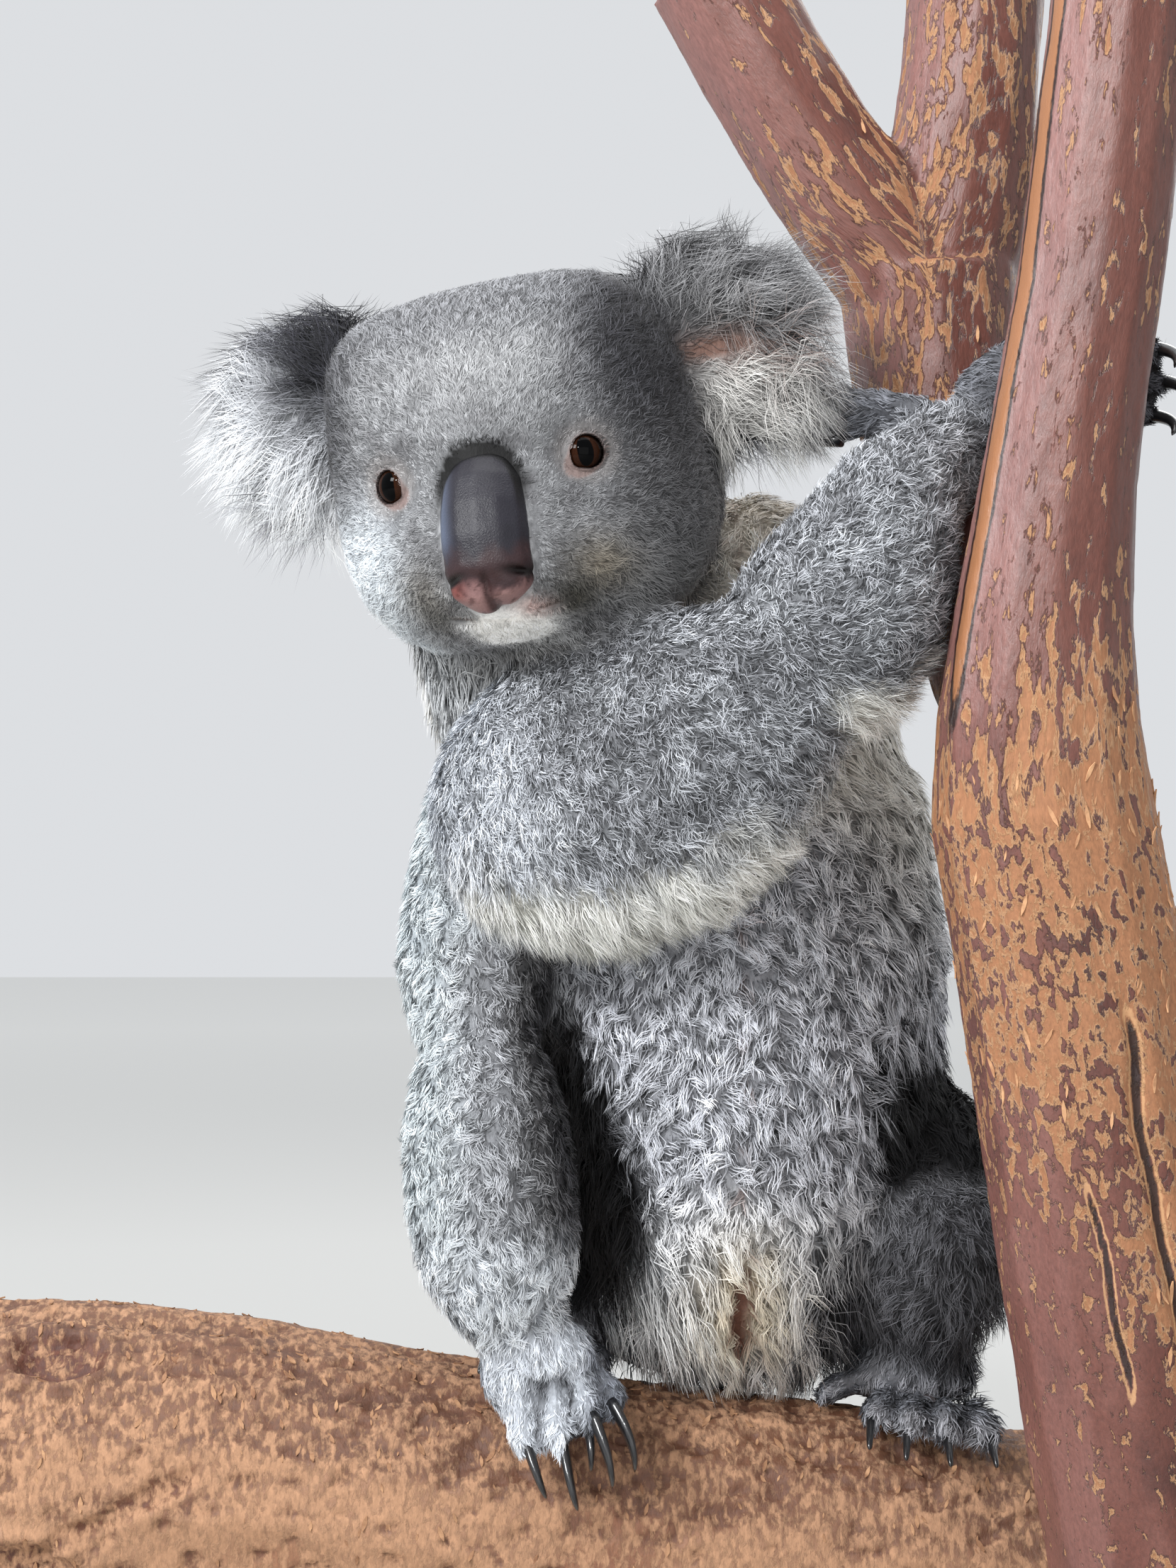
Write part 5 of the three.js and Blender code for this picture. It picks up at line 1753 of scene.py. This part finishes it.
def flake_tree():
    """Small curled flakes of bark scattered over a surface where its flake value is high."""
    tree, start, end, add = new_tree(
        "bark flakes", Density="Float", Width="Float", Length="Float", Thickness="Float",
        Curl="Float", Seed="Int", Material="Material")
    ask = start.outputs
    share = add("GeometryNodeInputNamedAttribute", {}, {"Name": "flake"}, data_type="FLOAT")
    maths = functools.partial(worked_out, tree)
    density = maths("MULTIPLY", ask["Density"], share.outputs["Attribute"])
    dots = add("GeometryNodeDistributePointsOnFaces", {
        "Mesh": ask["Geometry"], "Density": density, "Seed": ask["Seed"]})
    size = add("ShaderNodeCombineXYZ", {"X": ask["Width"], "Y": ask["Length"],
                                        "Z": ask["Thickness"]})
    slab = add("GeometryNodeMeshCube", {"Size": size.outputs[0]},
               {"Vertices X": 3, "Vertices Y": 4, "Vertices Z": 2})
    where = add("GeometryNodeInputPosition")
    parts = add("ShaderNodeSeparateXYZ", {"Vector": where.outputs["Position"]})
    along = parts.outputs["Y"]
    lift = maths("MULTIPLY", maths("MULTIPLY", along, along), ask["Curl"])
    narrow = maths("POWER", maths("DIVIDE", along, ask["Length"]), 2.0)
    taper = maths("MULTIPLY", maths("MULTIPLY", narrow, parts.outputs["X"]), -3.5)
    offset = add("ShaderNodeCombineXYZ", {"X": taper, "Z": lift})
    curled = add("GeometryNodeSetPosition", {"Geometry": slab.outputs["Mesh"],
                                             "Offset": offset.outputs[0]})
    spin = add("FunctionNodeRandomValue", {"Seed": ask["Seed"]},
               {"Min": (-0.2, -0.2, -0.5), "Max": (0.2, 0.2, 0.5)},
               data_type="FLOAT_VECTOR")
    upright = add("FunctionNodeAlignRotationToVector", {"Rotation": dots.outputs["Rotation"]},
                  {"Vector": (0.0, 0.0, 1.0)}, axis="Y", pivot_axis="Z")
    turn = add("FunctionNodeRotateRotation", {"Rotation": upright.outputs["Rotation"],
                                              "Rotate By": spin.outputs[0]},
               rotation_space="LOCAL")
    scale = add("FunctionNodeRandomValue", {"Seed": ask["Seed"]}, {2: 0.4, 3: 1.5},
                data_type="FLOAT")
    return scattered(tree, end, add, dots.outputs["Points"], curled.outputs["Geometry"],
                     turn.outputs["Rotation"], scale.outputs[1], ask["Material"])


def build_flakes(name, host, values, stops, slot):
    shade = Shade(name.replace("_", " "), Roughness=0.85)
    shade.colour(shade.stops(shade.noise(shade.place(), 160, 3), stops))
    copy = shown("host", host.data.copy())
    mesh = run_tree(copy, flake_tree(), {**values, "Material": shade.material}, shade.material)
    mesh.name = name
    settled(shown(name, mesh), slot)


# ---- stand and stage ----


def finish_stand(settings):
    """Satin paint on the board, brushed steel on the rods."""
    board = Shade("stand board", Roughness=0.42, Coat_Weight=0.15)
    lines = board.noise(board.place((0.5, 6, 6)), 60, 5)
    tone = tuple(settings.board_colour)
    board.colour(board.stops(lines, [(0.3, tuple(c * 0.96 for c in tone)), (0.7, tone)]))
    board.bump(lines, 0.08, 0.0006)
    steel = Shade("stand steel", Metallic=1.0, Roughness=0.32)
    brushed = steel.noise(steel.place((1, 1, 30)), 300, 4)
    steel.colour(steel.stops(brushed, [(0.3, (0.56, 0.57, 0.58)), (0.7, (0.70, 0.71, 0.72))]))
    for node, shade in (("stand_base", board), ("stand_rod_log", steel),
                        ("stand_rod_trunk", steel)):
        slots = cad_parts[node].data.materials
        slots.clear()
        slots.append(shade.material)


CAMERA_PLACE = (0, -1.28, 0.413)
CAMERA_LENS = 78.12
FLOOR_HALF = 6.0  # half of the floor's side
FLOOR_DROP = 0.0004  # how far the floor is below the stand

# Each lamp's name, place, aim, size (m), power (W) and colour.
LAMPS = (
    ("key", (-1.5, -1.5, 1.7), (0, 0, 0.42), (0.7, 0.7), 68, (0.98, 0.99, 1)),
    ("spark", (-0.8, -2.0, 1.6), (0, 0, 0.5), (0.13, 0.13), 16, (1, 1, 1)),
    ("front", (0.4, -2.6, 0.9), (0.05, 0, 0.4), (2.4, 1.6), 12, (1, 0.98, 0.95)),
    ("top", (0.0, 0.1, 2.2), (0.03, 0, 0.4), (1.6, 1.6), 24, (1, 1, 1)),
    ("back", (0.9, 1.7, 1.4), (0, 0, 0.5), (1.0, 1.0), 8, (1, 0.99, 0.97)),
)


def area_light(name, place, aim, size, power, colour):
    light = bpy.data.lights.new(name, "AREA")
    light.shape = "RECTANGLE"
    light.size, light.size_y = size
    light.energy = power
    light.color = colour
    lamp = shown(name, light)
    lamp.location = place
    lamp.rotation_euler = (Vector(aim) - Vector(place)).to_track_quat("-Z", "Y").to_euler()


def build_stage(settings):
    """A pale floor with painted shade near the stand and painted light towards its edge, soft
    studio light and the camera.
    """
    scene = bpy.context.scene
    corners = np.array([[-1, -1, 0], [1, -1, 0], [1, 1, 0], [-1, 1, 0]]) * FLOOR_HALF
    floor = put_mesh("floor", corners - (0, 0, FLOOR_DROP), [0, 1, 2, 3], [4])
    shade = Shade("floor", Roughness=0.9)
    away = shade.node("ShaderNodeVectorMath", {0: shade.place()}, operation="LENGTH")
    tone = np.array(settings.floor_colour)
    # painted shade and light: the floor is darker near the middle, where the lamps light it most,
    # and lighter far out, where it meets the world at the horizon
    shade.colour(shade.stops(shade.maths("DIVIDE", away.outputs["Value"], FLOOR_HALF), [
        (0.08, tuple(tone * 0.74)), (0.30, tuple(tone * 0.92)), (0.75, tuple(tone * 1.06))]))
    floor.data.materials.append(shade.material)
    world = bpy.data.worlds.new("studio")
    scene.world = world
    world.use_nodes = True
    back = world.node_tree.nodes["Background"]
    back.inputs["Color"].default_value = (0.90, 0.92, 0.95, 1)
    back.inputs["Strength"].default_value = settings.fill_light
    for name, place, aim, size, power, colour in LAMPS:
        area_light(name, place, aim, size, power * settings.key_light, colour)
    camera = bpy.data.cameras.new("camera")
    camera.lens = CAMERA_LENS
    camera.sensor_width = 36
    camera.clip_start = 0.01
    eye = shown("camera", camera)
    eye.location = CAMERA_PLACE
    eye.rotation_euler = (math.radians(90), 0, 0)
    scene.camera = eye
    scene.view_settings.view_transform = "Standard"


# ---- sizes and colours that a user would change ----


class KoalaCoat(bpy.types.PropertyGroup):
    coat_depth: FloatProperty(
        name="Coat depth", description="Share of the full depth between skin and coat tips",
        default=1.0, min=0.2, max=1.5, subtype="FACTOR")
    density: FloatProperty(
        name="Density", description="Share of the full number of tufts", default=1.0,
        min=0.1, max=1.1, subtype="FACTOR")


class KoalaFace(bpy.types.PropertyGroup):
    eye_opening: FloatProperty(
        name="Eye opening", description="Radius of the gap between the lids", default=0.0061,
        unit="LENGTH")
    pupil_width: FloatProperty(
        name="Pupil", description="Half width of the upright pupil, in millimetres",
        default=3.0)
    iris_colour: FloatVectorProperty(
        name="Iris", description="Middle tone of the iris", default=(0.165, 0.085, 0.045),
        size=3, subtype="COLOR")
    whisker_length: FloatProperty(
        name="Whiskers", description="Length of the longest whisker", default=0.026,
        unit="LENGTH")


class KoalaPerch(bpy.types.PropertyGroup):
    log_relief: FloatProperty(
        name="Log relief", description="How deep the log's bark is worked", default=1.0,
        subtype="FACTOR")
    trunk_relief: FloatProperty(
        name="Trunk relief", description="How deep the trunk's bark is worked", default=1.0,
        subtype="FACTOR")
    log_flakes: IntProperty(
        name="Log flakes", description="Loose flakes for each square metre of the log",
        default=9000)
    flake_length: FloatProperty(
        name="Flake length", description="Length of a loose flake of bark", default=0.0042,
        unit="LENGTH")


class KoalaStage(bpy.types.PropertyGroup):
    board_colour: FloatVectorProperty(
        name="Board", description="Paint on the stand's board", default=(0.86, 0.84, 0.80),
        size=3, subtype="COLOR")
    floor_colour: FloatVectorProperty(
        name="Floor", description="Colour of the floor", default=(0.86, 0.86, 0.85), size=3,
        subtype="COLOR")
    key_light: FloatProperty(
        name="Lamps", description="Strength of all the lamps", default=1.0)
    fill_light: FloatProperty(
        name="Fill", description="Strength of the light from all around", default=0.80)


# ---- operators ----


class KOALA_OT_stage(bpy.types.Operator):
    """Make the floor, the lamps and the camera"""

    bl_idname = "koala.stage"
    bl_label = "Stage"

    def execute(self, context):
        build_stage(context.scene.koala_stage)
        return {"FINISHED"}


class KOALA_OT_skin(bpy.types.Operator):
    """Make one skin under the coat, with lids and mouth"""

    bl_idname = "koala.skin"
    bl_label = "Skin"

    def execute(self, context):
        build_skin(context.scene.koala_coat.coat_depth, context.scene.koala_face.eye_opening)
        return {"FINISHED"}


class KOALA_OT_coat(bpy.types.Operator):
    """Grow the coat over the skin, one piece for each part of the body"""

    bl_idname = "koala.coat"
    bl_label = "Coat"

    def execute(self, context):
        material = coat_material()
        for seed, name in enumerate(COAT_PIECES, start=101):
            grow_coat(name, seed, context.scene.koala_coat, material)
        return {"FINISHED"}


class KOALA_OT_eyes(bpy.types.Operator):
    """Make both eyeballs with their irises and upright pupils"""

    bl_idname = "koala.eyes"
    bl_label = "Eyes"

    def execute(self, context):
        face = context.scene.koala_face
        iris = np.array(face.iris_colour)
        material = eye_material({
            "iris": tuple(iris), "deep": tuple(iris * 0.45),
            "light": tuple(np.minimum(iris * 1.7, 1)), "pupil": face.pupil_width})
        for side in (-1, 1):
            build_eye(side, material)
        return {"FINISHED"}


class KOALA_OT_nose(bpy.types.Operator):
    """Make the bare nose with its nostrils and pink lip"""

    bl_idname = "koala.nose"
    bl_label = "Nose"

    def execute(self, context):
        build_nose()
        return {"FINISHED"}


class KOALA_OT_claws(bpy.types.Operator):
    """Make the claws of all four paws"""

    bl_idname = "koala.claws"
    bl_label = "Claws"

    def execute(self, context):
        material = claw_material()
        for paw in CLAWS:
            build_claws(paw, material)
        return {"FINISHED"}


class KOALA_OT_whiskers(bpy.types.Operator):
    """Make the whiskers and the long hairs over the eyes"""

    bl_idname = "koala.whiskers"
    bl_label = "Whiskers"

    def execute(self, context):
        build_whiskers(context.scene.koala_face)
        return {"FINISHED"}


class KOALA_OT_perch(bpy.types.Operator):
    """Make the log and the forked trunk with their bark and loose flakes"""

    bl_idname = "koala.perch"
    bl_label = "Perch"

    def execute(self, context):
        perch = context.scene.koala_perch
        log = build_log(perch)
        trunk = build_trunk(perch)
        length = perch.flake_length
        build_flakes("flakes_log", log, {
            "Density": float(perch.log_flakes), "Width": length * 0.32, "Length": length,
            "Thickness": 0.0004, "Curl": 60.0, "Seed": 5},
            [(0.3, (0.44, 0.29, 0.20)), (0.7, (0.70, 0.54, 0.40))], "log_bark")
        build_flakes("flakes_trunk", trunk, {
            "Density": 5000.0, "Width": length * 0.28, "Length": length * 1.4,
            "Thickness": 0.0004, "Curl": 40.0, "Seed": 9},
            [(0.3, (0.56, 0.38, 0.26)), (0.7, (0.80, 0.62, 0.46))], "trunk_bark")
        return {"FINISHED"}


class KOALA_OT_stand(bpy.types.Operator):
    """Finish the display stand"""

    bl_idname = "koala.stand"
    bl_label = "Stand"

    def execute(self, context):
        finish_stand(context.scene.koala_stage)
        return {"FINISHED"}


class KOALA_PT_panel(bpy.types.Panel):
    """Sizes, colours and steps of the koala"""

    bl_idname = "KOALA_PT_panel"
    bl_label = "Koala"
    bl_space_type = "VIEW_3D"
    bl_region_type = "UI"
    bl_category = "Koala"

    def draw(self, context):
        scene = context.scene
        for group in (scene.koala_coat, scene.koala_face, scene.koala_perch,
                      scene.koala_stage):
            box = self.layout.box()
            for key in group.__annotations__:
                box.prop(group, key)
        for step in STEPS:
            self.layout.operator(step.bl_idname)


GROUPS = {"koala_coat": KoalaCoat, "koala_face": KoalaFace, "koala_perch": KoalaPerch,
          "koala_stage": KoalaStage}
STEPS = (KOALA_OT_stage, KOALA_OT_skin, KOALA_OT_coat, KOALA_OT_eyes, KOALA_OT_nose,
         KOALA_OT_claws, KOALA_OT_whiskers, KOALA_OT_perch, KOALA_OT_stand)


def register():
    for kind in (*GROUPS.values(), *STEPS, KOALA_PT_panel):
        bpy.utils.register_class(kind)
    for key, kind in GROUPS.items():
        setattr(bpy.types.Scene, key, PointerProperty(type=kind))


def unregister():
    for key in GROUPS:
        delattr(bpy.types.Scene, key)
    for kind in reversed((*GROUPS.values(), *STEPS, KOALA_PT_panel)):
        bpy.utils.unregister_class(kind)


def main():
    register()
    for step in STEPS:
        group, name = step.bl_idname.split(".")
        getattr(getattr(bpy.ops, group), name)()


if __name__ == "__main__":
    main()
